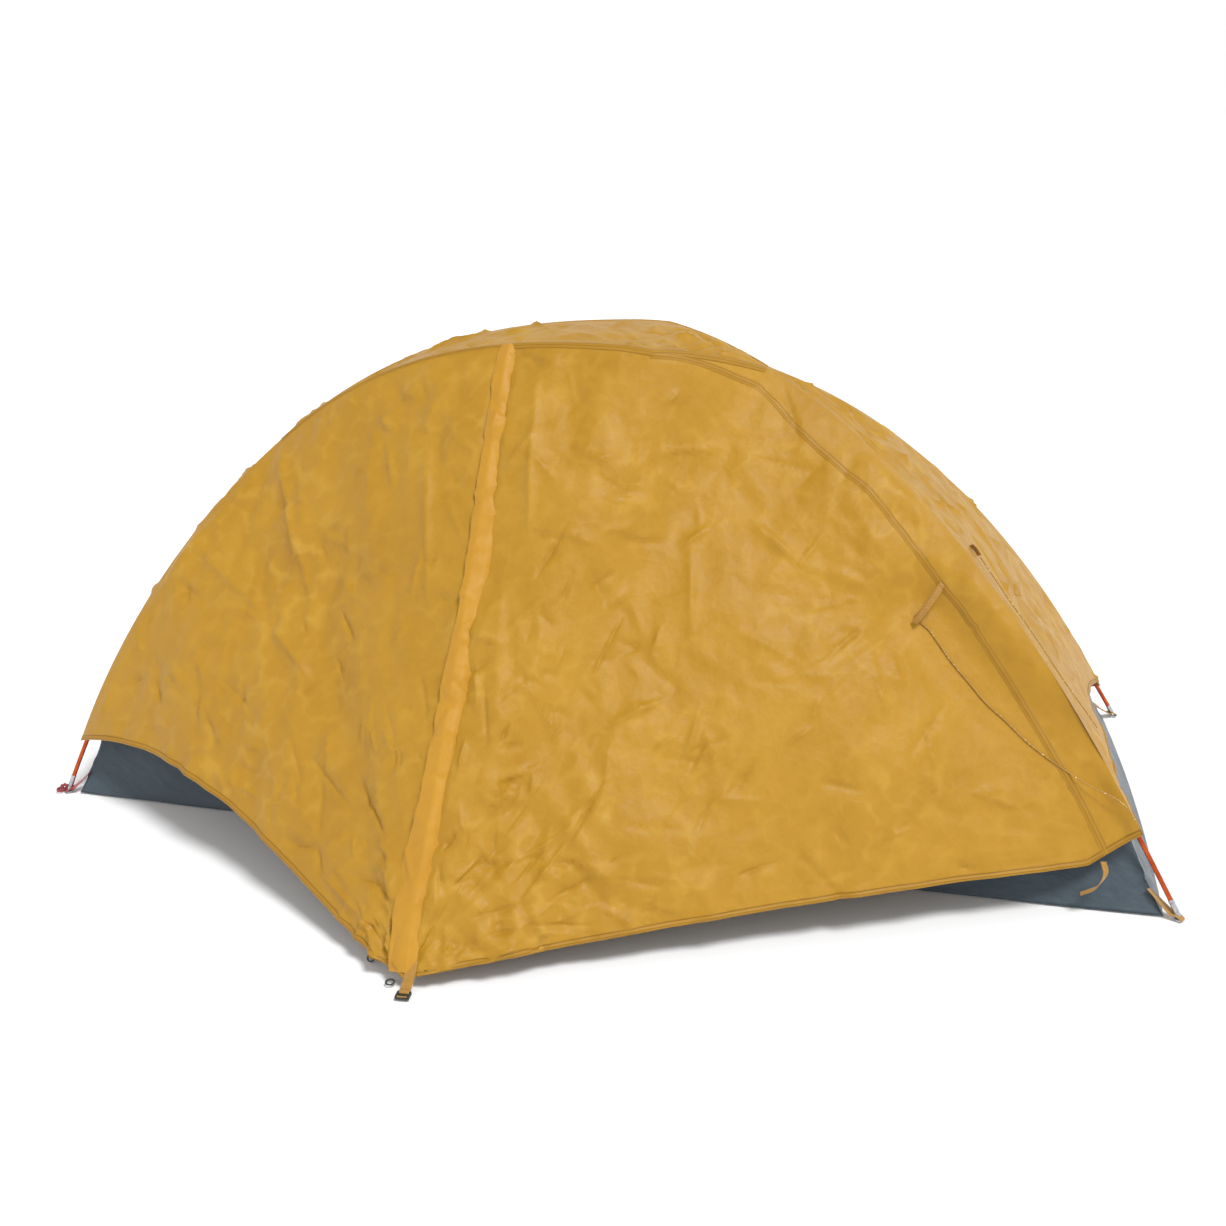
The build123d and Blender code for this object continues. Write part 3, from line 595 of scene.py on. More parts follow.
# %% Smooth forms of the panels
def end_grid(near_xs, far_xs, arch, columns):
    """Panel between two legs, its hem cut in an arch."""
    count = len(near_xs) - 1
    across = np.linspace(0, 1, columns + 1)[None, :]
    place = np.arange(count + 1)[:, None] * (1 - arch * 4 * across * (1 - across))
    near = crease(np.interp(place, np.arange(count + 1), near_xs), -1)
    far = crease(np.interp(place, np.arange(count + 1), far_xs), 1)
    return mix(near, far, across[..., None] * np.ones_like(place)[..., None])


def roof_grid(columns=36):
    near, far = crease(roof, -1), crease(roof, 1)
    across = np.linspace(0, 1, columns + 1)[None, :, None]
    return mix(near[:, None], far[:, None], across)


def far_grid(columns=84):
    xs = np.concatenate([foot_leg, roof[1:], head_leg_far[1:]])
    top = crease(xs, 1)
    part = ((xs - FOOT_CORNER) / (HEAD_FAR_CORNER - FOOT_CORNER))[:, None]
    bow = 4 * part * (1 - part)
    hem = mix(top[0], top[-1], part) + bow * np.array((0, FAR_HEM_BOW, -FAR_HEM_DROP))
    down = np.linspace(0, 1, columns + 1)[None, :, None]
    return mix(top[:, None], hem[:, None], down)


def porch_foot_grid(columns=150):
    """Cone from the crease down to the porch's point, its hem cut in an arch."""
    xs = np.concatenate([foot_leg, roof_foot[1:]])
    count = len(xs) - 1
    part = np.linspace(0, 1, count + 1)[:, None]
    down = np.linspace(0, 1, columns + 1)[None, :]
    start = NEAR_HEM_ARCH * 4 * down * (1 - down)
    place = (start + (1 - start) * part) * count
    top = crease(np.interp(place, np.arange(count + 1), xs), -1)
    return mix(top, STAKE, (down * np.ones_like(part))[..., None])


def near_hem(part):
    """The hem on the head side of the porch: a short edge down from the leg, then long to the point."""
    corner = crease(HEAD_NEAR_CORNER, -1)
    turn = 0.085
    short = mix(corner, DOOR_CORNER, np.clip(part / turn, 0, 1)[:, None])
    rest = np.clip((part - turn) / (1 - turn), 0, 1)[:, None]
    rise = np.array((0, 0, 0.018)) * 4 * rest * (1 - rest)
    return np.where(part[:, None] < turn, short, mix(DOOR_CORNER, STAKE, rest) + rise)


def porch_head_grid(columns=190):
    """Panel from the crease to the porch's point, drawn down to the hem at its head end."""
    xs = crease_stations(ZIP_TOP, HEAD_NEAR_CORNER, DOOR_STEP)
    top = crease(xs, -1)
    down = np.linspace(0, 1, columns + 1)
    cone = mix(top[:, None], STAKE, down[None, :, None])
    hem_line = near_hem(down)
    part = np.linspace(0, 1, len(xs))[:, None, None]
    return cone + (hem_line - cone[-1])[None] * part**5


# %% Pulls on each panel
NEAR_NORMAL = (0.05, -0.80, 0.60)
HUB_POINT = (-0.680, -0.020, 0.745)
CROSS_TIP = (0.121, -0.140, 0.978)
LOOP_POINT = (0.645, -0.270, 0.520)
STAKE_POINT = tuple(STAKE)


def foot_panel_pulls(p):
    lift = 0.0016 * fan(p, STAKE_POINT, (0.0, 0.45, 0.9), NEAR_NORMAL, 7, 0.22, 11)
    lift = lift + 0.0014 * fan(p, HUB_POINT, (0.2, -0.6, -0.8), NEAR_NORMAL, 5, 0.14, 12)
    lift = lift + 0.0016 * fan(p, (-1.09, -0.23, 0.12), (0.6, -0.2, 0.5), NEAR_NORMAL, 8, 0.20, 13)
    for start, end, depth, width in (
            ((-0.68, -0.03, 0.73), (-0.54, -0.30, 0.49), 0.012, 0.020),
            ((-0.55, -0.28, 0.51), (-0.52, -0.56, 0.19), 0.010, 0.018),
            ((-0.84, -0.14, 0.54), (-0.65, -0.29, 0.46), 0.005, 0.010),
            ((-0.66, -0.28, 0.46), (-0.51, -0.42, 0.38), 0.006, 0.009),
            ((-0.61, -0.10, 0.69), (-0.56, -0.20, 0.59), 0.007, 0.008),
            ((-0.32, -0.13, 0.86), (-0.27, -0.41, 0.55), 0.007, 0.013),
            ((-0.38, -0.20, 0.78), (-0.33, -0.50, 0.42), -0.006, 0.014),
            ((-0.45, -0.12, 0.80), (-0.41, -0.42, 0.50), 0.006, 0.016),
            ((-0.36, -0.55, 0.35), (-0.25, -0.79, 0.09), 0.007, 0.010),
            ((-0.95, -0.20, 0.36), (-0.70, -0.42, 0.25), 0.004, 0.008),
            ((-0.60, -0.50, 0.26), (-0.34, -0.60, 0.30), -0.004, 0.008),
            ((-0.75, -0.28, 0.42), (-0.70, -0.45, 0.20), 0.004, 0.009)):
        lift = lift + fold(p, start, end, depth, width)
    return lift


def head_panel_pulls(p):
    lift = 0.0015 * fan(p, STAKE_POINT, (0.3, 0.45, 0.8), NEAR_NORMAL, 8, 0.24, 21)
    lift = lift + 0.0012 * fan(p, CROSS_TIP, (0.3, -0.6, -0.8), NEAR_NORMAL, 7, 0.16, 22)
    lift = lift + 0.0018 * fan(p, LOOP_POINT, (-0.6, -0.3, -0.5), NEAR_NORMAL, 7, 0.13, 23)
    lift = lift + 0.0024 * fan(p, (1.05, -0.41, 0.13), (-0.8, -0.1, 0.4), NEAR_NORMAL, 8, 0.20, 24)
    for start, end, depth, width in (
            ((0.33, -0.24, 0.67), (0.42, -0.28, 0.61), 0.009, 0.008),
            ((0.42, -0.28, 0.61), (0.64, -0.28, 0.54), 0.009, 0.008),
            ((0.36, -0.27, 0.63), (0.60, -0.29, 0.53), -0.006, 0.008),
            ((0.02, -0.37, 0.64), (0.07, -0.39, 0.55), -0.008, 0.008),
            ((0.07, -0.39, 0.55), (0.12, -0.36, 0.58), 0.007, 0.008),
            ((0.21, -0.26, 0.67), (0.23, -0.40, 0.49), 0.006, 0.009),
            ((0.14, -0.43, 0.47), (0.23, -0.47, 0.41), -0.006, 0.008),
            ((0.09, -0.53, 0.37), (0.19, -0.48, 0.41), 0.007, 0.008),
            ((0.23, -0.41, 0.48), (0.38, -0.44, 0.40), 0.005, 0.007),
            ((0.16, -0.16, 0.93), (0.36, -0.22, 0.70), 0.005, 0.009),
            ((0.50, -0.36, 0.42), (0.80, -0.36, 0.38), 0.005, 0.009),
            ((0.55, -0.50, 0.20), (0.90, -0.41, 0.20), -0.005, 0.009),
            ((0.66, -0.42, 0.27), (0.78, -0.46, 0.14), 0.006, 0.009),
            ((0.30, -0.60, 0.18), (0.52, -0.48, 0.28), -0.006, 0.009),
            ((-0.02, -0.62, 0.30), (0.12, -0.70, 0.14), 0.006, 0.010),
            ((0.83, -0.38, 0.28), (0.93, -0.42, 0.13), 0.005, 0.008),
            ((-0.10, -0.14, 0.93), (-0.08, -0.36, 0.67), 0.007, 0.015),
            ((-0.04, -0.13, 0.95), (0.01, -0.34, 0.68), -0.007, 0.014),
            ((0.03, -0.14, 0.95), (0.06, -0.33, 0.66), 0.006, 0.013),
            ((-0.12, -0.42, 0.58), (-0.10, -0.60, 0.34), 0.006, 0.012)):
        lift = lift + fold(p, start, end, depth, width)
    return lift


def head_end_pulls(p):
    lift = 0.0030 * fan(p, (0.34, 0, 0.90), (0.7, 0, -0.7), (0.7, 0, 0.7), 7, 0.22, 31)
    for start, end, depth, width in (
            ((0.55, -0.10, 0.76), (0.95, 0.10, 0.36), 0.006, 0.014),
            ((0.50, 0.05, 0.80), (0.85, -0.15, 0.48), -0.005, 0.012),
            ((0.75, 0.12, 0.58), (0.98, 0.22, 0.28), 0.005, 0.010)):
        lift = lift + fold(p, start, end, depth, width)
    return lift


def roof_pulls(p):
    lift = -0.010 * np.exp(-((p[..., 0] - 0.20) / 0.05)**2 - ((p[..., 1] + 0.06) / 0.04)**2)
    return lift + 0.004 * fan(p, CROSS_TIP, (-0.6, 0.8, 0), (0, 0, 1), 6, 0.10, 41)


# %% Crumpled panels
PORCH_STRENGTH = 1.35
foot_end, foot_end_marks = crumple(end_grid(foot_leg[::-1], foot_leg[::-1], FOOT_HEM_ARCH, 50),
                                   ("first", "left", "right"), 3)
head_form = end_grid(head_leg_near, head_leg_far, HEAD_HEM_ARCH, 110)
head_end, head_end_marks = crumple(head_form, ("first", "left", "right"), 5, head_end_pulls(head_form))
roof_form = roof_grid()
roof_cloth, roof_marks = crumple(roof_form, ("first", "last", "left", "right"), 7,
                                 roof_pulls(roof_form), 0.7, 0.4)
far_cloth, far_marks = crumple(far_grid(), ("left", "first"), 9, creases=150)
porch_form = relaxed(porch_foot_grid(), 60)
porch_foot, porch_foot_marks = crumple(porch_form, ("left", "last"), 11, foot_panel_pulls(porch_form),
                                       PORCH_STRENGTH, creases=170)
door_form = relaxed(porch_head_grid(), 300)
porch_head, porch_head_marks = crumple(door_form, ("left", "first"), 13, head_panel_pulls(door_form),
                                       PORCH_STRENGTH, creases=230)

FOOT_NORMAL = (-0.41, -0.70, 0.58)
DOOR_NORMAL = (0.237, -0.765, 0.600)
porch_head = under_cord(porch_head, grid_normals(door_form, INSIDE), NEAR_CORD, CORD_GAP)
head_end = under_cord(head_end, grid_normals(head_form, INSIDE), END_CORD, CORD_GAP * 2)
shell = grid_mesh(
    "fly_shell", [foot_end, head_end, roof_cloth, far_cloth, porch_foot],
    [flat_place(foot_end, (-0.75, 0, 0.65)), flat_place(head_end, (0.75, 0, 0.65)),
     flat_place(roof_cloth, (0.01, -0.01, 1)), flat_place(far_cloth, (0, 0.85, 0.5)),
     flat_place(porch_foot, FOOT_NORMAL)],
    [foot_end_marks, head_end_marks, roof_marks, far_marks, porch_foot_marks])
porch_panel = grid_mesh("fly_porch_head_panel", [porch_head], [flat_place(porch_head, DOOR_NORMAL)],
                        [porch_head_marks])

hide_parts("fly_roof", "fly_foot_end", "fly_head_end", "fly_far_side", "fly_porch_foot_panel")
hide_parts("fly_head_shoulder", "fly_door")
hinge_start = crease(ZIP_TOP, -1)
hinge_along = (DOOR_CORNER - hinge_start) / np.linalg.norm(DOOR_CORNER - hinge_start)
hinge_down = -np.cross(hinge_along, DOOR_NORMAL)
hinge_down = hinge_down if hinge_down[2] < 0 else -hinge_down
hinge_down = hinge_down / np.linalg.norm(hinge_down)


def bend_with_door(piece):
    """Cloth that crosses the door's top edge: its place is baked into its mesh."""
    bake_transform(piece)


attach(shell, "tent")
bend_with_door(porch_panel)
for piece in (shell, porch_panel):
    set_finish(piece, "fly_cloth")

# %% [markdown]
# ## Hems and seams
# Every raw edge of the fly is bound with a folded tape, and the panels meet in flat seams with two rows of
# stitches. Each is a narrow strip laid on the crumpled cloth itself, so that it follows each ripple.

# %% Strips that follow the cloth
BINDING = 0.011
SEAM_HALF = 0.0055


def inset_line(grid, depth):
    """Points at a given depth from the grid's first column, along each row."""
    run = run_along(grid, 1)
    depth = np.broadcast_to(depth, grid.shape[:1])
    return np.stack([[np.interp(d, r, line[:, k]) for k in range(3)]
                     for d, r, line in zip(depth, run, grid)])


def binding_strip(grid, normals):
    """Tape folded over the grid's first column: inside, round the edge, and outside."""
    edge = grid[:, 0]
    normal = normals[:, 0]
    into = inset_line(grid, BINDING)
    out = edge - into
    out = out / np.maximum(np.linalg.norm(out, axis=-1, keepdims=True), 1e-9)
    return np.stack([into - normal * 0.0009, edge - normal * 0.0009, edge + out * 0.0012,
                     edge + normal * 0.0009, into + normal * 0.0009, into + normal * 0.0001], axis=1)


def seam_strip(grid, normals, depth, half=SEAM_HALF):
    """Flat seam on a panel, at a given depth from its first column."""
    lines = [inset_line(grid, depth + shift) for shift in (-half, -half * 0.8, 0, half * 0.8, half)]
    column = np.argmax(run_along(grid, 1)[0] > 0.02)
    normal = normals[:, column]
    lifts = (0.0001, 0.0009, 0.0011, 0.0009, 0.0001)
    return np.stack([line + normal * lift for line, lift in zip(lines, lifts)], axis=1)


def crease_strip(one, other, one_normals, other_normals):
    """Flat seam over a crease that two panels share as their first column."""
    middle = one[:, 0] + (one_normals[:, 3] + other_normals[:, 3]) * 0.0006
    left = inset_line(one, SEAM_HALF) + one_normals[:, 3] * 0.0010
    right = inset_line(other, SEAM_HALF) + other_normals[:, 3] * 0.0010
    left_edge = inset_line(one, SEAM_HALF * 1.15)
    right_edge = inset_line(other, SEAM_HALF * 1.15)
    return np.stack([left_edge, left, middle, right, right_edge], axis=1)


def facing(grid):
    return grid_normals(grid, INSIDE)


# %% Bindings and seams
def turned(grid):
    return grid.swapaxes(0, 1)


def binding_of(grid, side):
    """Binding along one edge of a panel: its first or last row, or its last column."""
    if side in ("first", "last"):
        grid = turned(grid)
    if side in ("last", "right"):
        grid = grid[:, ::-1]
    return binding_strip(grid, facing(grid))


hems = [binding_of(foot_end, "last"), binding_of(head_end, "last"), binding_of(far_cloth, "right"),
        binding_of(porch_foot, "first")]
hem_binding = grid_mesh("fly_hem_binding", hems, [strip_place(h) for h in hems], weld=False)
door_hem = [binding_of(porch_head, "last")]
door_binding = grid_mesh("fly_porch_hem_binding", door_hem, [strip_place(h) for h in door_hem], weld=False)

near_rows = len(foot_leg) - 1
roof_near = roof_cloth[:len(roof_foot)]
seams = [
    crease_strip(roof_near, porch_foot[near_rows:], facing(roof_near), facing(porch_foot[near_rows:])),
    crease_strip(roof_cloth[:, ::-1], far_cloth[near_rows:near_rows + len(roof)],
                 facing(roof_cloth[:, ::-1]), facing(far_cloth[near_rows:near_rows + len(roof)])),
]
roof_head_near = roof_cloth[len(roof_foot) - 1:]
middle_seam = seam_strip(roof_head_near, facing(roof_head_near), 0.006)
seams.append(middle_seam)
shell_seams = grid_mesh("fly_seams", seams, [strip_place(s) for s in seams], weld=False)

door_xs = porch_head[:, 0, 0]
HIP_SEAM_DEPTH = 0.075
reach = np.clip((door_xs - CROSS_X) / 0.36, 0, 1)
hip_depth = 0.010 + (HIP_SEAM_DEPTH - 0.010) * reach * reach * (3 - 2 * reach)
from_cross = door_xs > CROSS_X
hip_cloth = porch_head[from_cross]
roof_side = porch_head[door_xs < HEAD_HUB]
door_seams = [seam_strip(hip_cloth, facing(hip_cloth), hip_depth[from_cross], 0.008),
              seam_strip(roof_side, facing(roof_side), 0.0065)]
hip_seam = grid_mesh("fly_hip_seam", door_seams, [strip_place(s) for s in door_seams], weld=False)

for piece, body in ((hem_binding, "tent"), (shell_seams, "tent")):
    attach(piece, body)
    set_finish(piece, "fly_cloth")
for piece in (door_binding, hip_seam):
    bend_with_door(piece)
    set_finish(piece, "fly_cloth")

# %% [markdown]
# ## Storm flap
# A long flap of brighter cloth lies over the zip and is sewn to the door beside it. It lies close to the door
# at its sewn edge. Its free edge wanders and lifts, with small folds across it.

# %% Storm flap
FLAP_LEFT = ((0, 0.018), (0.25, 0.013), (0.45, 0.008), (0.55, 0.019), (0.75, 0.025), (0.85, 0.043),
             (1, 0.034))
FLAP_RIGHT = ((0, 0.030), (0.10, 0.036), (0.33, 0.050), (0.53, 0.037), (0.66, 0.042), (0.77, 0.031),
              (0.85, 0.025), (0.93, 0.016), (1, 0.013))
FLAP_ROWS = 240
FLAP_COLUMNS = 22


def square_to(direction, toward):
    side = toward - direction * (toward @ direction)
    return side / np.linalg.norm(side)


def flap_grid():
    down = np.linspace(0, 0.992, FLAP_ROWS)
    zip_line = mix(crease(ZIP_TOP, -1), STAKE, down[:, None])
    along = (STAKE - crease(ZIP_TOP, -1)) / np.linalg.norm(STAKE - crease(ZIP_TOP, -1))
    to_foot = square_to(along, crease(FOOT_CORNER, -1) - STAKE)
    to_door = square_to(along, DOOR_CORNER - STAKE)
    foot_out = np.array(FOOT_NORMAL) / np.linalg.norm(FOOT_NORMAL)
    door_out = np.array(DOOR_NORMAL) / np.linalg.norm(DOOR_NORMAL)
    smooth = np.hanning(25) / np.hanning(25).sum()
    left = np.interp(down, *np.array(FLAP_LEFT).T)
    right = np.interp(down, *np.array(FLAP_RIGHT).T)
    left, right = (np.convolve(np.pad(w, 12, mode="edge"), smooth, "valid") for w in (left, right))
    across = np.linspace(0, 1, FLAP_COLUMNS)
    place = -left[:, None] + (left + right)[:, None] * across
    foot_part = np.clip(-place, 0, None)[..., None] * to_foot
    door_part = np.clip(place, 0, None)[..., None] * to_door
    turn = np.clip((place + 0.012) / 0.024, 0, 1)[..., None]
    out = mix(foot_out, door_out, turn)
    out = out / np.linalg.norm(out, axis=-1, keepdims=True)
    base = zip_line[:, None] + foot_part + door_part
    cover = np.clip((right[:, None] - place) / 0.030, 0, 1)
    lift = 0.0045 + 0.0085 * cover * cover * (3 - 2 * cover)
    ends = np.minimum(1, np.minimum(down / 0.035 + 0.35, (1 - down) / 0.04 + 0.3))[:, None]
    free = (1 - across)[None, :]
    steady = np.stack([down * 0.95, down * 0, down * 0], axis=-1)
    wander = soft_noise(steady, 0.050, 61)[:, None]
    ripple = soft_noise(base, 0.038, 62)
    dent = packing_creases(base, 0.060, 63, grain=(0, 0, 1), stretch=0.0)
    lift = lift * ends + free * (0.0038 * wander + 0.0020 * ripple) + 0.0016 * dent * np.minimum(1, free * 3)
    for spot, depth in ((0.145, 0.0045), (0.245, 0.0060), (0.262, -0.0035), (0.41, 0.0040), (0.56, 0.0035),
                        (0.70, 0.0045), (0.80, -0.0035), (0.90, 0.0040)):
        slant = down[:, None] - spot + 0.03 * (across - 0.5)[None, :]
        lift = lift + depth * np.exp(-np.abs(slant) / 0.006) * free
    lift = lift + sharp_creases(base, out, 46, 65, 0.0024) * np.minimum(1, free * 2)
    return base + out * np.maximum(lift, 0.0012)[..., None]


flap_cloth = flap_grid()
storm_flap = grid_mesh("storm_flap_cloth", [flap_cloth],
                       [np.stack([run_along(flap_cloth, 0),
                                  run_along(flap_cloth, 1)[:, -1:] - run_along(flap_cloth, 1)], axis=-1)])
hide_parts("storm_flap")
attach(storm_flap, "porch_door")
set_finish(storm_flap, "flap_cloth")

# %% [markdown]
# ## Inner canopy and floor
# Inside hangs a canopy of fine net, sewn to a waterproof floor whose walls stand up like a shallow tub. The
# tub's corners are drawn out and down to the pole tips, which gathers its walls into folds.

# %% The canopy's lines
TENT_MIDDLE = np.array((0, 0, 0.3))
CANOPY_INSET = 0.046
SPREAD_FULL = 0.060
TUB_HEIGHT = 0.130
FLOOR_SCALE = 0.945
DOOR_FOOT_X = -0.430
DOOR_TOP = 0.85
DOOR_GAP = 0.004


def arch_line(x, side):
    x = np.asarray(x, float)
    return np.stack([x, side * leg_spread(x), arch_height(x)], axis=-1)


def inward(x, side):
    """Unit direction from the arch into the tent, square to the pole."""
    x = np.asarray(x, float)
    step = np.where(x < 0, 0.001, -0.001)
    point = arch_line(x, side)
    tangent = arch_line(x + step, side) - point
    tangent = tangent / np.linalg.norm(tangent, axis=-1, keepdims=True)
    aim = TENT_MIDDLE - point
    aim = aim / np.linalg.norm(aim, axis=-1, keepdims=True)
    spread = np.minimum(1, leg_spread(x) / SPREAD_FULL)[..., None]
    aim = aim + spread * np.array((0, -side, 0))
    aim = aim - tangent * (aim * tangent).sum(axis=-1, keepdims=True)
    return aim / np.linalg.norm(aim, axis=-1, keepdims=True)


def canopy_line(x, side):
    return arch_line(x, side) + inward(x, side) * CANOPY_INSET


def canopy_corner(sign):
    """x of the crease whose canopy point is at the top of the tub."""
    xs = np.linspace(0, sign * HALF_LENGTH * 0.999, 4000)
    heights = canopy_line(xs, 1)[:, 2]
    return xs[np.argmax(heights < TUB_HEIGHT)]


foot_end_x, head_end_x = canopy_corner(-1), canopy_corner(1)
tub_top = [canopy_line(foot_end_x, -1), canopy_line(head_end_x, -1),
           canopy_line(head_end_x, 1), canopy_line(foot_end_x, 1)]
tub_top = [np.array((p[0], p[1], TUB_HEIGHT)) for p in tub_top]
corner_signs = ((-1, -1), (1, -1), (1, 1), (-1, 1))
tub_base = [arch_line(sign * HALF_LENGTH, side) * FLOOR_SCALE for sign, side in corner_signs]


def wall_grid(xs, side, low, high, rows):
    """Part of a long wall of the canopy, between two heights."""
    foot, head = (tub_top[0], tub_top[1]) if side < 0 else (tub_top[3], tub_top[2])
    top = canopy_line(xs, side)
    part = ((top[:, 0] - foot[0]) / (head[0] - foot[0]))[:, None]
    base = mix(foot, head, part)
    height = np.linspace(low, high, rows + 1)[None, :, None]
    return mix(base[:, None], top[:, None], height)


def canopy_stations(start, end, step=0.016):
    length = np.linalg.norm(np.diff(canopy_line(np.linspace(start, end, 500), 1), axis=0), axis=1).sum()
    return even_stations(lambda x: canopy_line(x, 1), start, end, max(3, round(length / step)))


def hung(grid, held, seed):
    """Net between its seams: it sags a little and creases softly."""
    normal = grid_normals(grid, INSIDE)
    lift = -0.010 + 0.006 * soft_noise(grid, 0.20, seed) + 0.0022 * packing_creases(grid, 0.08, seed)
    return grid + normal * (lift * seam_fade(grid, held, 0.12))[..., None]


# %% Inner canopy
canopy_foot = canopy_stations(foot_end_x, FOOT_HUB)
canopy_wall_foot = canopy_stations(FOOT_HUB, DOOR_FOOT_X)
canopy_door = canopy_stations(DOOR_FOOT_X, HEAD_HUB)
canopy_head = canopy_stations(HEAD_HUB, head_end_x)
whole_length = np.concatenate([canopy_foot, canopy_wall_foot[1:], canopy_door[1:], canopy_head[1:]])
every_edge = ("first", "last", "left", "right")


def canopy_end_grid(xs, columns):
    near, far = canopy_line(xs, -1), canopy_line(xs, 1)
    return mix(near[:, None], far[:, None], np.linspace(0, 1, columns + 1)[None, :, None])


canopy_grids = [
    hung(wall_grid(whole_length, 1, 0, 1, 44), every_edge, 71),
    hung(wall_grid(np.concatenate([canopy_foot, canopy_wall_foot[1:]]), -1, 0, 1, 44), every_edge, 72),
    hung(wall_grid(canopy_head, -1, 0, 1, 44), every_edge, 73),
    hung(wall_grid(canopy_door, -1, DOOR_TOP + 0.01, 1, 8), every_edge, 74),
    hung(canopy_end_grid(canopy_head, 36), every_edge, 75),
    hung(canopy_end_grid(canopy_foot, 24), every_edge, 76)]
FRONT_WALL = (0, -0.9, 0.4)
canopy_normals = [(0, 0.85, 0.5), FRONT_WALL, FRONT_WALL, FRONT_WALL, (0.75, 0, 0.65), (-0.75, 0, 0.65)]
canopy = grid_mesh("inner_canopy", canopy_grids,
                   [flat_place(g, n) for g, n in zip(canopy_grids, canopy_normals)])
door_stations = canopy_door.copy()
door_stations[0] += DOOR_GAP
door_stations[-1] -= DOOR_GAP
inner_door_grid = hung(wall_grid(door_stations, -1, 0, DOOR_TOP, 50), every_edge, 77)
inner_door = grid_mesh("inner_door_net", [inner_door_grid], [flat_place(inner_door_grid, (0, -0.9, 0.4))])
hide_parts("canopy_back_wall", "canopy_front_foot", "canopy_front_head", "canopy_front_header",
            "canopy_head_end", "canopy_foot_end")
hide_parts("inner_door")
for piece in (canopy, inner_door):
    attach(piece, "tent")
    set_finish(piece, "canopy_mesh")

# %% Tub floor
CORNER_REACH = 0.034
FLOOR_RINGS = (0.02, 0.15, 0.3, 0.45, 0.6, 0.72, 0.82, 0.9, 0.95, 0.98)
SIDE_POINTS = (150, 70, 150, 44)


def outline(corners, round_off):
    """Points round four corners, gathered towards each corner, which is pulled outwards a little."""
    points = []
    for k, count in enumerate(SIDE_POINTS):
        a, b = np.array(corners[k]), np.array(corners[(k + 1) % 4])
        part = 0.5 - 0.5 * np.cos(np.pi * np.linspace(0, 1, count, endpoint=False))
        part = mix(np.linspace(0, 1, count, endpoint=False), part, 0.6)
        bulge = round_off * 4 * part * (1 - part)
        side = np.cross(b - a, (0, 0, 1))
        side = side / np.linalg.norm(side)
        points.append(mix(a, b, part[:, None]) - side * bulge[:, None])
    return np.concatenate(points)


def drawn_out(corners, reach):
    return [c + np.array((math.copysign(reach, c[0]), math.copysign(reach * 0.55, c[1]), 0)) for c in corners]


def tub_grid():
    base_line = outline(drawn_out(tub_base, CORNER_REACH), -0.014)
    top_line = outline(tub_top, -0.004)
    base_line[:, 2] = 0.0015
    middle = base_line.mean(axis=0)
    rings = [middle + (base_line - middle) * part for part in FLOOR_RINGS]
    rings += [mix(base_line, top_line, part) for part in np.linspace(0, 1, 22)]
    grid = np.stack(rings, axis=1)
    grid = np.concatenate([grid, grid[:1]], axis=0)
    corner_gap = np.min([np.linalg.norm((grid - c)[..., :2], axis=-1) for c in tub_base], axis=0)
    gather = np.exp(-corner_gap / 0.11)
    height = np.clip(grid[..., 2] / TUB_HEIGHT, 0, 1)
    wall = np.sin(np.pi * np.clip(height, 0, 1))
    along = np.abs(grid[..., 0]) + np.abs(grid[..., 1])
    pleats = soft_noise(np.stack([along, grid[..., 2] * 0.25, along * 0], axis=-1), 0.016, 81)
    out = grid * np.array((0.4, 1, 0))
    out = out / np.maximum(np.linalg.norm(out, axis=-1, keepdims=True), 1e-9)
    lift = wall * (0.006 * gather * pleats + 0.0035 * soft_noise(grid, 0.06, 82)
                   + 0.0022 * packing_creases(grid, 0.05, 83) - 0.004)
    lift[-1] = lift[0]
    flat = np.where(height < 0.02, 0.0016 * (1 + packing_creases(grid, 0.09, 84)), 0)
    flat[-1] = flat[0]
    return grid + out * lift[..., None] + flat[..., None] * np.array((0, 0, 1))


tub = tub_grid()
tub_floor = grid_mesh("tub_floor", [tub], [tub[..., :2] + tub[..., 2:] * 0.9])
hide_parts("bathtub_floor")
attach(tub_floor, "tent")
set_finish(tub_floor, "floor_cloth")
tub_hem = [seam_strip(tub[:, ::-1], grid_normals(tub[:, ::-1], (0, 0, 0.05)), 0.006, 0.006)]
tub_seam = grid_mesh("tub_seam", tub_hem, [strip_place(s) for s in tub_hem], weld=False)
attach(tub_seam, "tent")
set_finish(tub_seam, "grey_tape")

# %% [markdown]
# ## Webbing, loops and cords
# The straps are woven polyester, 20 mm wide at the corners. A strap is a thin closed band that follows a
# few points, and its weave follows its own length. The two guy cords are stowed against the fly, tied to a
# webbing loop at one end and to the fly at the other.

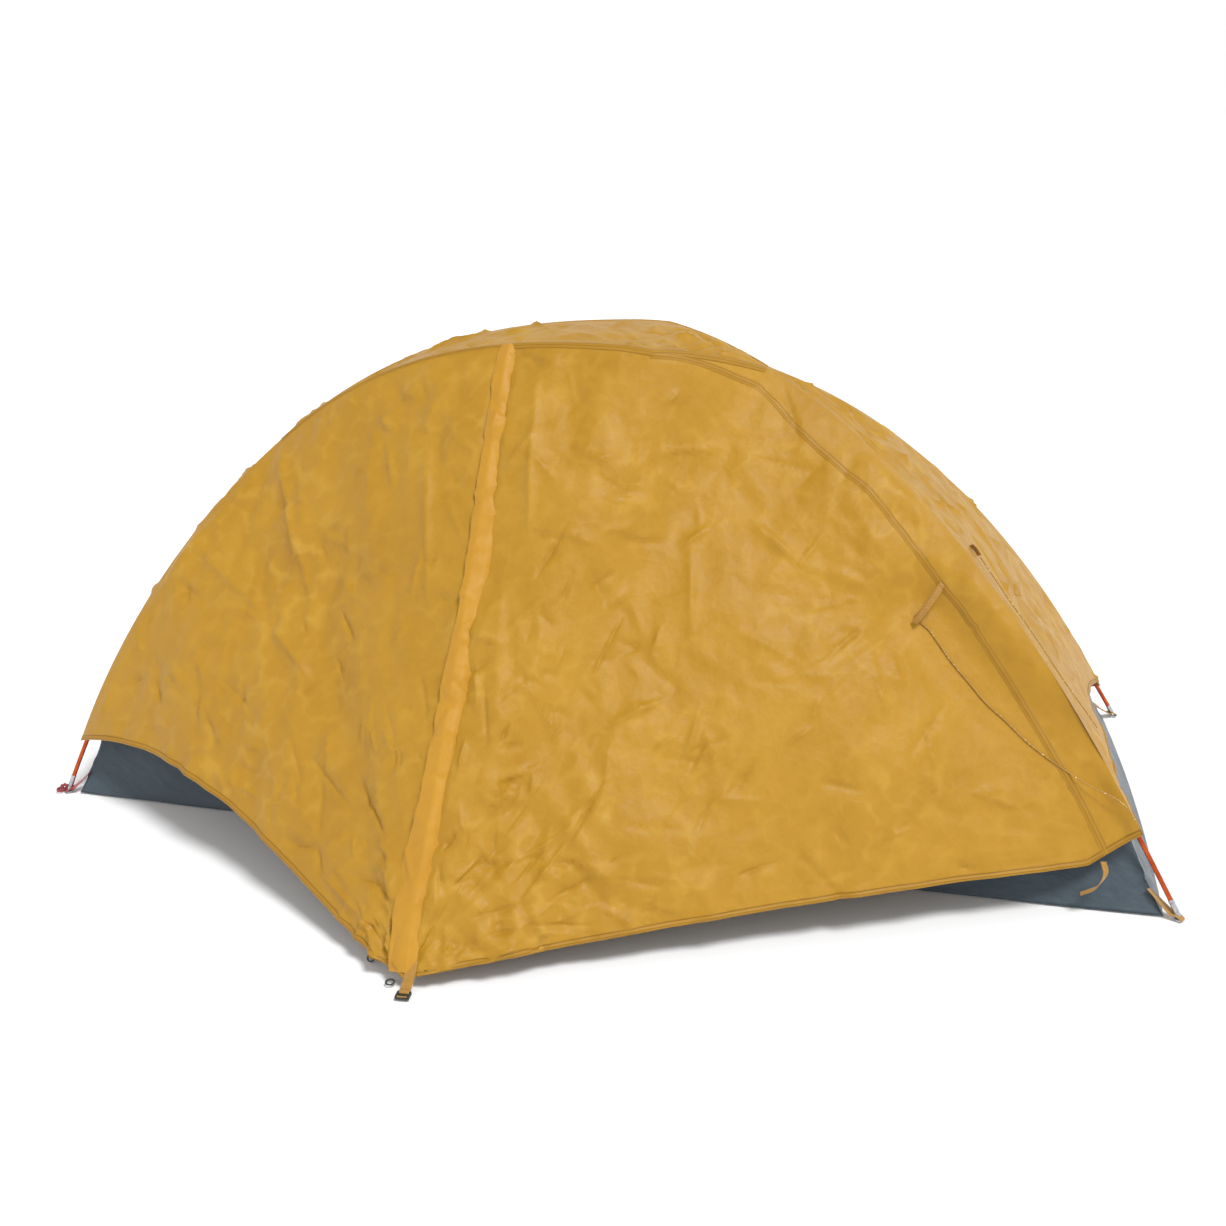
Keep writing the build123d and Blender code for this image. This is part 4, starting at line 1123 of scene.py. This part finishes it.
# %% Bands
def band(name, points, across, thickness, count=40, waviness=0.0, seed=1):
    """Closed band through a few points. across gives half its width at each point, as a vector."""
    centre = smooth_line(points, count)
    if len(across) > 1:
        width = smooth_line(across, count)
    else:
        width = np.repeat(np.array(across, float), count, axis=0)
    along = np.gradient(centre, axis=0)
    normal = np.cross(along, width)
    normal = normal / np.linalg.norm(normal, axis=-1, keepdims=True)
    if waviness:
        centre = centre + normal * (waviness * soft_noise(centre, 0.02, seed))[:, None]
    half = thickness / 2
    profile = ((-1, 0), (-0.985, 0.8), (-0.93, 1), (-0.5, 1.04), (0, 1.06), (0.5, 1.04), (0.93, 1),
               (0.985, 0.8), (1, 0), (0.985, -0.8), (0.93, -1), (0.5, -1), (0, -1), (-0.5, -1),
               (-0.93, -1), (-0.985, -0.8), (-1, 0))
    rings = np.stack([centre + width * a + normal * (half * b) for a, b in profile], axis=1)
    start, end = rings[:1].mean(axis=1, keepdims=True), rings[-1:].mean(axis=1, keepdims=True)
    rings = np.concatenate([np.repeat(start, len(profile), axis=1), rings,
                            np.repeat(end, len(profile), axis=1)], axis=0)
    run = run_along(rings, 0)[:, 8][:, None] * np.ones(len(profile))
    span = np.array([a for a, b in profile]) * np.linalg.norm(width[0])
    place = np.stack([run, np.repeat(span[None, :], len(rings), axis=0)], axis=-1)
    return grid_mesh(name, [rings], [place])


def joined(name, pieces):
    """Join meshes into one piece."""
    nothing_selected()
    for piece in pieces:
        piece.select_set(True)
    bpy.context.view_layer.objects.active = pieces[0]
    bpy.ops.object.join()
    pieces[0].name = name
    nothing_selected()
    return pieces[0]


# %% Corner webbing
def corner_strap(name, sign, side, width):
    """Strap from the tub's corner seam to the grommet at the pole's tip."""
    k = {(-1, -1): 0, (1, -1): 1, (1, 1): 2, (-1, 1): 3}[sign, side]
    base, top = drawn_out(tub_base, CORNER_REACH)[k], tub_top[k]
    tip = np.array((sign * 1.1515, side * (0.4455 if sign > 0 else 0.262), 0.003))
    seam = mix(base, top, 0.30)
    away = (tip - seam) / np.linalg.norm(tip - seam)
    across = np.cross(away, (0, 0, 1)) * width / 2
    across = across / np.linalg.norm(across) * width / 2
    lean = across + np.array((0, 0, 0.35 * width / 2 * -side * sign))
    points = [seam - away * 0.010, mix(seam, tip, 0.3) - (0, 0, 0.003), mix(seam, tip, 0.7) - (0, 0, 0.004),
              tip - away * 0.012 + (0, 0, 0.0015), tip + away * 0.004 + (0, 0, 0.0022)]
    return band(name, points, [lean, lean, across, across * 0.9, across * 0.8], 0.0018, 44, 0.0012, 5)


head_straps = joined("corner_straps_head", [corner_strap("strap", 1, side, 0.020) for side in (-1, 1)])
foot_straps = joined("corner_straps_foot", [corner_strap("strap", -1, side, 0.020) for side in (-1, 1)])
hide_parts("corner_webbing_head")
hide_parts("corner_webbing_foot")


def tied_loop(name, centre, outward, radius, width, lift):
    """Loop of webbing that lies open round a stake hole, its two ends crossed and tied in a knot."""
    outward = np.array(outward) / np.linalg.norm(outward)
    side = np.cross((0, 0, 1), outward)
    ring = []
    for angle in np.linspace(-0.86, 0.86, 13) * math.pi:
        ring.append(centre + outward * math.cos(angle) * radius + side * math.sin(angle) * radius
                    + np.array((0, 0, lift * (1 - math.cos(angle)) / 2)))
    start = centre - outward * radius * 1.9
    points = [start + side * 0.003] + ring + [start - side * 0.003 + np.array((0, 0, 0.003))]
    loop = band(name, points, [(0, 0, width / 2)], 0.0016, 90, 0.0006, 9)
    nothing_selected()
    knot_place = centre - outward * radius * 1.35 + np.array((0, 0, lift + 0.003))
    bpy.ops.mesh.primitive_torus_add(location=knot_place,
                                     rotation=(1.35, 0.3, math.atan2(outward[1], outward[0])),
                                     major_radius=0.0068, minor_radius=0.0034,
                                     major_segments=36, minor_segments=14)
    knot = bpy.context.object
    bpy.ops.object.transform_apply()
    for vertex in knot.data.vertices:
        vertex.co.z += 0.0012 * math.sin(vertex.co.x * 900) + 0.0008 * math.sin(vertex.co.y * 1300)
        vertex.co.z = max(vertex.co.z, 0.0004)
    knot.data.polygons.foreach_set("use_smooth", [True] * len(knot.data.polygons))
    knot.data.uv_layers[0].name = "cloth"
    return joined(name, [loop, knot])


loop_places = []
for name in ("stake_loop_foot_near", "stake_loop_foot_far"):
    mount = [m for m in frame["record"]["mounts"] if m["name"] == name][0]
    loop_places.append(np.array(mount["pos_m"]))
foot_loops = joined("corner_loops", [
    tied_loop("loop", place + np.array((0, 0, 0.002)), (-0.95, 0.3 * np.sign(place[1]), 0), 0.0075, 0.006,
              0.002)
    for place in loop_places])
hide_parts("corner_stake_loops")

# %% Porch strap, guy loops and hem tape
STRAP_END = (-0.213, -0.8672, 0.006)
strap_points = [(-0.206, -0.838, 0.046), (-0.207, -0.850, 0.033), (-0.210, -0.859, 0.017), STRAP_END]
porch_strap = band("porch_strap", strap_points, [(0.010, 0, 0)], 0.0018, 40, 0.0008, 3)
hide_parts("porch_stake_strap")

threaded = [(-0.213, -0.8700, 0.0078), (-0.213, -0.8735, 0.0076), (-0.213, -0.8765, 0.0050),
            (-0.213, -0.8790, 0.0022), (-0.213, -0.8830, 0.0022), (-0.213, -0.8855, 0.0050),
            (-0.213, -0.8880, 0.0078), (-0.213, -0.8905, 0.0080)]
buckle_webbing = band("buckle_webbing", threaded, [(0.0088, 0, 0)], 0.0016, 60, 0.0, 3)

guy_loop_near = [(0.686, -0.251, 0.573), (0.668, -0.268, 0.549), (0.652, -0.276, 0.526),
                 (0.641, -0.277, 0.512)]
near_across = [(0.0037, -0.0035, -0.0030)]
near_across = [tuple(np.array(near_across[0]) * (0.006 / np.linalg.norm(near_across[0])))]
near_tape = band("guy_tape_near", guy_loop_near, near_across, 0.0016, 40, 0.0006, 4)
near_tape_lower = band("guy_tape_lower", [np.array(p) + (-0.004, -0.009, -0.006) for p in guy_loop_near],
                       near_across, 0.0014, 40, 0.0008, 6)
near_guy_loop = joined("guy_tapes_porch_side", [near_tape, near_tape_lower])
end_guy_loop = band("guy_tape_head_end",
                    [(0.741, -0.145, 0.616), (0.749, -0.154, 0.611), (0.757, -0.164, 0.602)],
                    [(0.0030, -0.0040, 0.0030)], 0.0018, 30, 0.0004, 5)
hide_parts("guy_loop_porch_side")
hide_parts("guy_loop_head_end")
hem_tape = band("hem_tape", [(1.003, -0.431, 0.106), (1.008, -0.437, 0.086), (1.000, -0.441, 0.064),
                             (0.984, -0.443, 0.050), (0.966, -0.444, 0.042)],
                [(0.0055, 0, 0), (0.0050, 0.0015, 0.001), (0.002, 0.0040, 0.002), (0, 0.0045, 0.001),
                 (0, 0.005, 0.001)],
                0.0014, 60, 0.0010, 7)
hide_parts("hem_tension_tape")
for piece, body, finish in ((head_straps, "tent", "gold_webbing"), (foot_straps, "tent", "red_webbing"),
                            (foot_loops, "tent", "red_webbing"), (porch_strap, "porch_door", "gold_webbing"),
                            (buckle_webbing, "buckle", "gold_webbing"),
                            (near_guy_loop, "tent", "gold_webbing"),
                            (end_guy_loop, "tent", "gold_webbing"), (hem_tape, "tent", "gold_webbing")):
    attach(piece, body)
    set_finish(piece, finish)

# %% [markdown]
# ## Finishes
# Cloth finishes read the cloth's own flat place in metres, so a weave keeps its size on a bent panel.
# Rigid parts read their place in space. Every pattern's scale comes from a real size in millimetres.

# %% Material helpers
MM = 0.001
WAVE_TURN = 0.314159


def new_material(name, colour, roughness, **values):
    material = bpy.data.materials.new(name)
    material.use_nodes = True
    shader = material.node_tree.nodes["Principled BSDF"]
    shader.inputs["Base Color"].default_value = hex_colour(colour)
    shader.inputs["Roughness"].default_value = roughness
    for key, value in values.items():
        shader.inputs[key.replace("_", " ")].default_value = value
    return material, shader


def flat_cloth(material):
    """The cloth's own flat place, in metres."""
    return add_node(material, "ShaderNodeUVMap", {"uv_map": "cloth"}).outputs["UV"]


def in_space(material):
    return add_node(material, "ShaderNodeTexCoord").outputs["Object"]


def noise_of(material, place, size, detail=3.0, roughness=0.5, distortion=0.0):
    """Noise whose swells are about `size` metres."""
    return add_node(material, "ShaderNodeTexNoise", {"noise_dimensions": "3D"}, {"Vector": place},
                    Scale=1 / size, Detail=detail, Roughness=roughness, Distortion=distortion).outputs["Fac"]


def ranged(material, value, low, high, new_low, new_high):
    node = add_node(material, "ShaderNodeMapRange", {"clamp": True}, {"Value": value})
    for key, number in (("From Min", low), ("From Max", high), ("To Min", new_low), ("To Max", new_high)):
        node.inputs[key].default_value = number
    return node.outputs["Result"]


def mixed(material, part, first, second):
    """Colour between two, each a hex text or another node's colour."""
    node = add_node(material, "ShaderNodeMix", {"data_type": "RGBA"}, {"Factor": part})
    for socket, value in ((node.inputs[6], first), (node.inputs[7], second)):
        if isinstance(value, str):
            socket.default_value = hex_colour(value)
        else:
            material.node_tree.links.new(value, socket)
    return node.outputs[2]


def bumped(material, shader, heights):
    """A chain of bumps onto the shader. Each is a height from 0 to 1 and its depth in metres."""
    normal = None
    for height, depth in heights:
        links = {"Height": height} if normal is None else {"Height": height, "Normal": normal}
        bump = add_node(material, "ShaderNodeBump", None, links, Strength=1.0, Distance=depth)
        normal = bump.outputs["Normal"]
    material.node_tree.links.new(normal, shader.inputs["Normal"])


def threads(material, place, spacing, direction):
    """Parallel threads, `spacing` metres apart."""
    return add_node(material, "ShaderNodeTexWave", {"wave_type": "BANDS", "bands_direction": direction},
                    {"Vector": place}, Scale=WAVE_TURN / spacing, Distortion=0.0, Detail=0.0).outputs["Fac"]


def product(material, first, second):
    node = add_node(material, "ShaderNodeMath", {"operation": "MULTIPLY"})
    material.node_tree.links.new(first, node.inputs[0])
    material.node_tree.links.new(second, node.inputs[1])
    return node.outputs[0]


# %% Coated cloth
def coated_cloth(name, base, dark, light, weave=1.4 * MM, roughness=(0.40, 0.56), sheen=0.05,
                 crumple_depth=1.0):
    """Plain woven polyester with a thin coating: a soft silky shine, fine packing creases, slightly paler
    threads where it has been folded, and a cloudy mottle of painted shade. The weave is drawn much coarser
    than real, to show."""
    material, shader = new_material(name, base, 0.44, Sheen_Weight=sheen, Sheen_Roughness=0.35,
                                    Specular_IOR_Level=0.30)
    tree = material.node_tree
    place = flat_cloth(material)
    # Painted shade and light: a cloudy mottle from the darker to the base colour, standing in for the shading
    # of small slopes in the cloth and the light that shines through it.
    painted_shade_mottle = ranged(material, noise_of(material, place, 0.16, 3.0, 0.55), 0.32, 0.68, 0.35, 1)
    fine = noise_of(material, place, 0.022, 4.0, 0.6)
    colour = mixed(material, painted_shade_mottle, dark, base)
    facet = add_node(material, "ShaderNodeTexVoronoi", {"feature": "F1", "voronoi_dimensions": "3D"},
                     {"Vector": distorted(material, place, 0.05, 0.014)}, Scale=1 / 0.034).outputs["Distance"]
    small_facet = add_node(material, "ShaderNodeTexVoronoi", {"feature": "F1", "voronoi_dimensions": "3D"},
                           {"Vector": distorted(material, place, 0.02, 0.006)},
                           Scale=1 / 0.012).outputs["Distance"]
    creased = add_node(material, "ShaderNodeAttribute", {"attribute_name": "creased"}).outputs["Fac"]
    worn = product(material, ranged(material, facet, 0.55, 0.85, 0, 0.35), creased)
    colour = mixed(material, worn, colour, light)
    colour = mixed(material, ranged(material, fine, 0.35, 0.7, 0, 0.12), colour, light)
    tree.links.new(colour, shader.inputs["Base Color"])
    tree.links.new(ranged(material, fine, 0.3, 0.7, *roughness), shader.inputs["Roughness"])
    weave_height = product(material, threads(material, place, weave, "X"),
                           threads(material, place, weave, "Y"))
    bumped(material, shader, ((facet, 0.0012 * crumple_depth), (small_facet, 0.0004 * crumple_depth),
                              (fine, 0.0011 * crumple_depth), (weave_height, 0.00010)))
    return material


def distorted(material, place, size, amount):
    """A place shifted by noise, so that what is drawn there isn't regular."""
    shift = add_node(material, "ShaderNodeTexNoise", {"noise_dimensions": "3D"}, {"Vector": place},
                     Scale=1 / size, Detail=2.0).outputs["Color"]
    spread = add_node(material, "ShaderNodeVectorMath", {"operation": "SCALE"}, {"Vector": shift},
                      Scale=amount * 2)
    return add_node(material, "ShaderNodeVectorMath", {"operation": "ADD"},
                    {0: place, 1: spread.outputs["Vector"]}).outputs["Vector"]


STITCH_ROWS = 6.8 * MM
STITCH_LENGTH = 3.2 * MM


def stitched_cloth(name, base, dark, light, thread="#7D5A16"):
    """The coated cloth where it is folded and sewn: rows of lock stitches, each a small dent in the fold."""
    material = coated_cloth(name, base, dark, light, crumple_depth=0.3)
    tree = material.node_tree
    shader = tree.nodes["Principled BSDF"]
    place = flat_cloth(material)
    row = ranged(material, threads(material, place, STITCH_ROWS, "Y"), 0.90, 0.96, 0, 1)
    dash = ranged(material, threads(material, place, STITCH_LENGTH, "X"), 0.25, 0.45, 0, 1)
    stitch = product(material, row, dash)
    cloth_colour = shader.inputs["Base Color"].links[0].from_socket
    tree.links.new(mixed(material, stitch, cloth_colour, thread), shader.inputs["Base Color"])
    cloth_normal = shader.inputs["Normal"].links[0].from_socket
    dent = add_node(material, "ShaderNodeBump", {"invert": True}, {"Height": stitch, "Normal": cloth_normal},
                    Strength=1.0, Distance=0.0006)
    tree.links.new(dent.outputs["Normal"], shader.inputs["Normal"])
    return material


# %% Webbing, cord and tape
def webbing(name, base, dark, rib=2.2 * MM, place_of=flat_cloth):
    """Flat woven strap: ribs across it and herringbone threads along it, a little fuzzy at the edges."""
    material, shader = new_material(name, base, 0.72, Sheen_Weight=0.35, Sheen_Roughness=0.5)
    tree = material.node_tree
    place = place_of(material)
    ribs = threads(material, place, rib, "X")
    slant = threads(material, place, rib * 0.8, "DIAGONAL")
    cells = product(material, ribs, slant)
    worn = noise_of(material, place, 0.006, 4.0)
    colour = mixed(material, ranged(material, cells, 0, 0.7, 0, 1), dark, base)
    colour = mixed(material, ranged(material, worn, 0.55, 0.8, 0, 0.35), colour, "#E2C7A0")
    tree.links.new(colour, shader.inputs["Base Color"])
    tree.links.new(ranged(material, worn, 0.3, 0.7, 0.62, 0.82), shader.inputs["Roughness"])
    bumped(material, shader, ((cells, 0.00035), (worn, 0.00025)))
    return material


def braided(name, base, dark, fleck, strand=1.5 * MM):
    """Braided cord: strands cross at a slant, and a tracer thread runs round it."""
    material, shader = new_material(name, base, 0.6, Sheen_Weight=0.3, Sheen_Roughness=0.5)
    place = in_space(material)
    one = threads(material, place, strand, "X")
    other = threads(material, place, strand, "Z")
    cells = product(material, one, other)
    colour = mixed(material, ranged(material, cells, 0.05, 0.6, 0, 1), dark, base)
    colour = mixed(material, ranged(material, noise_of(material, place, 0.004, 1.0), 0.62, 0.68, 0, 0.8),
                   colour, fleck)
    material.node_tree.links.new(colour, shader.inputs["Base Color"])
    bumped(material, shader, ((cells, 0.0004),))
    return material


def net(name, base, hole=1.6 * MM):
    """Fine knitted net: thin grey threads round small open holes."""
    material, shader = new_material(name, base, 0.75, Sheen_Weight=0.2)
    place = flat_cloth(material)
    threads_x = ranged(material, threads(material, place, hole, "X"), 0.35, 0.75, 1, 0)
    threads_y = ranged(material, threads(material, place, hole, "Y"), 0.35, 0.75, 1, 0)
    open_part = product(material, ranged(material, threads_x, 0, 1, 1, 0),
                        ranged(material, threads_y, 0, 1, 1, 0))
    thread = ranged(material, open_part, 0, 1, 1, 0.12)
    material.node_tree.links.new(thread, shader.inputs["Alpha"])
    tint = mixed(material, noise_of(material, place, 0.05, 2.0), base, "#9DA1A3")
    material.node_tree.links.new(tint, shader.inputs["Base Color"])
    bumped(material, shader, ((thread, 0.0002),))
    return material


def zip_tape(name, base, dark, tooth=2.6 * MM):
    """Coil zip: a row of fine teeth down the middle of a woven tape."""
    material, shader = new_material(name, base, 0.6, Sheen_Weight=0.2)
    place = in_space(material)
    teeth = threads(material, place, tooth, "Z")
    grain = noise_of(material, place, 0.003, 3.0)
    colour = mixed(material, ranged(material, teeth, 0.2, 0.7, 0, 1), dark, base)
    material.node_tree.links.new(colour, shader.inputs["Base Color"])
    bumped(material, shader, ((teeth, 0.0004), (grain, 0.0001)))
    return material


# %% Metal and plastic
def anodised_tube(name, base, dark, metallic=0.85):
    """Drawn aluminium tube, anodised: satin, with fine lines along it and faint rubbed marks."""
    material, shader = new_material(name, base, 0.34, Metallic=metallic)
    place = in_space(material)
    rubbed = noise_of(material, place, 0.03, 5.0, 0.6)
    fine = noise_of(material, place, 0.0018, 2.0)
    colour = mixed(material, ranged(material, rubbed, 0.35, 0.65, 0, 1), dark, base)
    colour = mixed(material, ranged(material, rubbed, 0.66, 0.74, 0, 0.4), colour, "#D9A58A")
    tree = material.node_tree
    tree.links.new(colour, shader.inputs["Base Color"])
    tree.links.new(ranged(material, rubbed, 0.3, 0.7, 0.26, 0.42), shader.inputs["Roughness"])
    bumped(material, shader, ((fine, 0.00006),))
    return material


def bare_metal(name, base, roughness=0.3):
    """Tumbled alloy: bright, with small dents and a dull bloom."""
    material, shader = new_material(name, base, roughness, Metallic=1.0)
    place = in_space(material)
    bloom = noise_of(material, place, 0.006, 5.0, 0.65)
    colour = mixed(material, ranged(material, bloom, 0.4, 0.7, 0, 1), base, "#8D9094")
    material.node_tree.links.new(colour, shader.inputs["Base Color"])
    material.node_tree.links.new(ranged(material, bloom, 0.3, 0.7, roughness - 0.07, roughness + 0.14),
                                 shader.inputs["Roughness"])
    bumped(material, shader, ((bloom, 0.00012),))
    return material


def moulded(name, base, rubbed_colour, roughness=0.42):
    """Moulded nylon or acetal: a fine spark-eroded grain, rubbed smoother and paler on high spots."""
    material, shader = new_material(name, base, roughness)
    place = in_space(material)
    grain = noise_of(material, place, 0.0012, 2.0)
    worn = noise_of(material, place, 0.012, 5.0, 0.6)
    colour = mixed(material, ranged(material, worn, 0.56, 0.72, 0, 0.6), base, rubbed_colour)
    material.node_tree.links.new(colour, shader.inputs["Base Color"])
    material.node_tree.links.new(ranged(material, worn, 0.3, 0.7, roughness - 0.08, roughness + 0.1),
                                 shader.inputs["Roughness"])
    bumped(material, shader, ((grain, 0.00010), (worn, 0.00012)))
    return material


# %% Finish of every slot
finishes = {
    "fly_cloth": coated_cloth("coated_polyester_amber", "#AE811F", "#A07313", "#C29A3A"),
    "flap_cloth": coated_cloth("coated_polyester_bright", "#BA8825", "#B07D1C", "#CD9D3E", crumple_depth=0.6),
    "floor_cloth": coated_cloth("coated_nylon_slate", "#45515A", "#37424A", "#62707A", 1.2 * MM,
                                (0.32, 0.46), 0.1, 0.8),
    "canopy_mesh": net("polyester_net", "#787C7F"),
    "moulded_plastic": moulded("moulded_nylon_grey", "#5A5B5D", "#7C7D80"),
    "pole_tube": anodised_tube("anodised_aluminium_orange", "#C85A2C", "#A8421C"),
    "bare_alloy": bare_metal("bare_alloy", "#C9CBCE"),
    "elastic_cord": braided("elastic_cord", "#3A3B3E", "#222326", "#8D8F93"),
    "red_webbing": webbing("red_webbing", "#B52A33", "#7C1720"),
    "gold_webbing": webbing("gold_webbing", "#BE8C30", "#966C22"),
    "grey_tape": webbing("grey_tape", "#6C7378", "#4A5156", 1.6 * MM),
    "gold_zip": zip_tape("zip_gold", "#B98428", "#7E5714"),
    "grey_zip": zip_tape("zip_grey", "#5C6165", "#34383B"),
    "slider_metal": bare_metal("slider_alloy", "#8E9094", 0.36),
    "gold_cord": braided("gold_cord", "#CFA03E", "#94691D", "#F2E1A8"),
    "buckle_plastic": moulded("moulded_acetal_charcoal", "#2E2E2C", "#4C4C4A"),
}
cad_webbing = {"red_webbing": webbing("red_webbing_laid", "#B52A33", "#7C1720", place_of=in_space),
               "gold_webbing": webbing("gold_webbing_laid", "#BE8C30", "#966C22", place_of=in_space),
               "grey_tape": webbing("grey_tape_laid", "#6C7378", "#4A5156", 1.6 * MM, place_of=in_space)}

for name, piece in frame["nodes"].items():
    for place in piece.material_slots:
        kind = place.material.name.split(".")[0]
        place.material = cad_webbing[kind] if kind in cad_webbing else finishes[kind]
for piece in bpy.data.objects:
    if "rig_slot" in piece.keys():
        piece.data.materials.clear()
        piece.data.materials.append(finishes[piece["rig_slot"]])
sewn = stitched_cloth("coated_polyester_sewn", "#A67A1C", "#966B12", "#B98F36")
for piece in (hem_binding, door_binding, shell_seams, hip_seam):
    piece.data.materials[0] = sewn


def declare_sheet(piece):
    """Read a sheet's cloth UV map into an array, which nothing uses. Declare a sheet. Its size
    and area are read from the finished mesh, so they don't test it.
    """
    flat = np.zeros(len(piece.data.loops) * 2)
    piece.data.uv_layers["cloth"].data.foreach_get("uv", flat)
declare_sheet(shell)
declare_sheet(porch_panel)
declare_sheet(storm_flap)
declare_sheet(canopy)
declare_sheet(inner_door)
declare_sheet(tub_floor)

# %% Update the scene
bpy.context.view_layer.update()
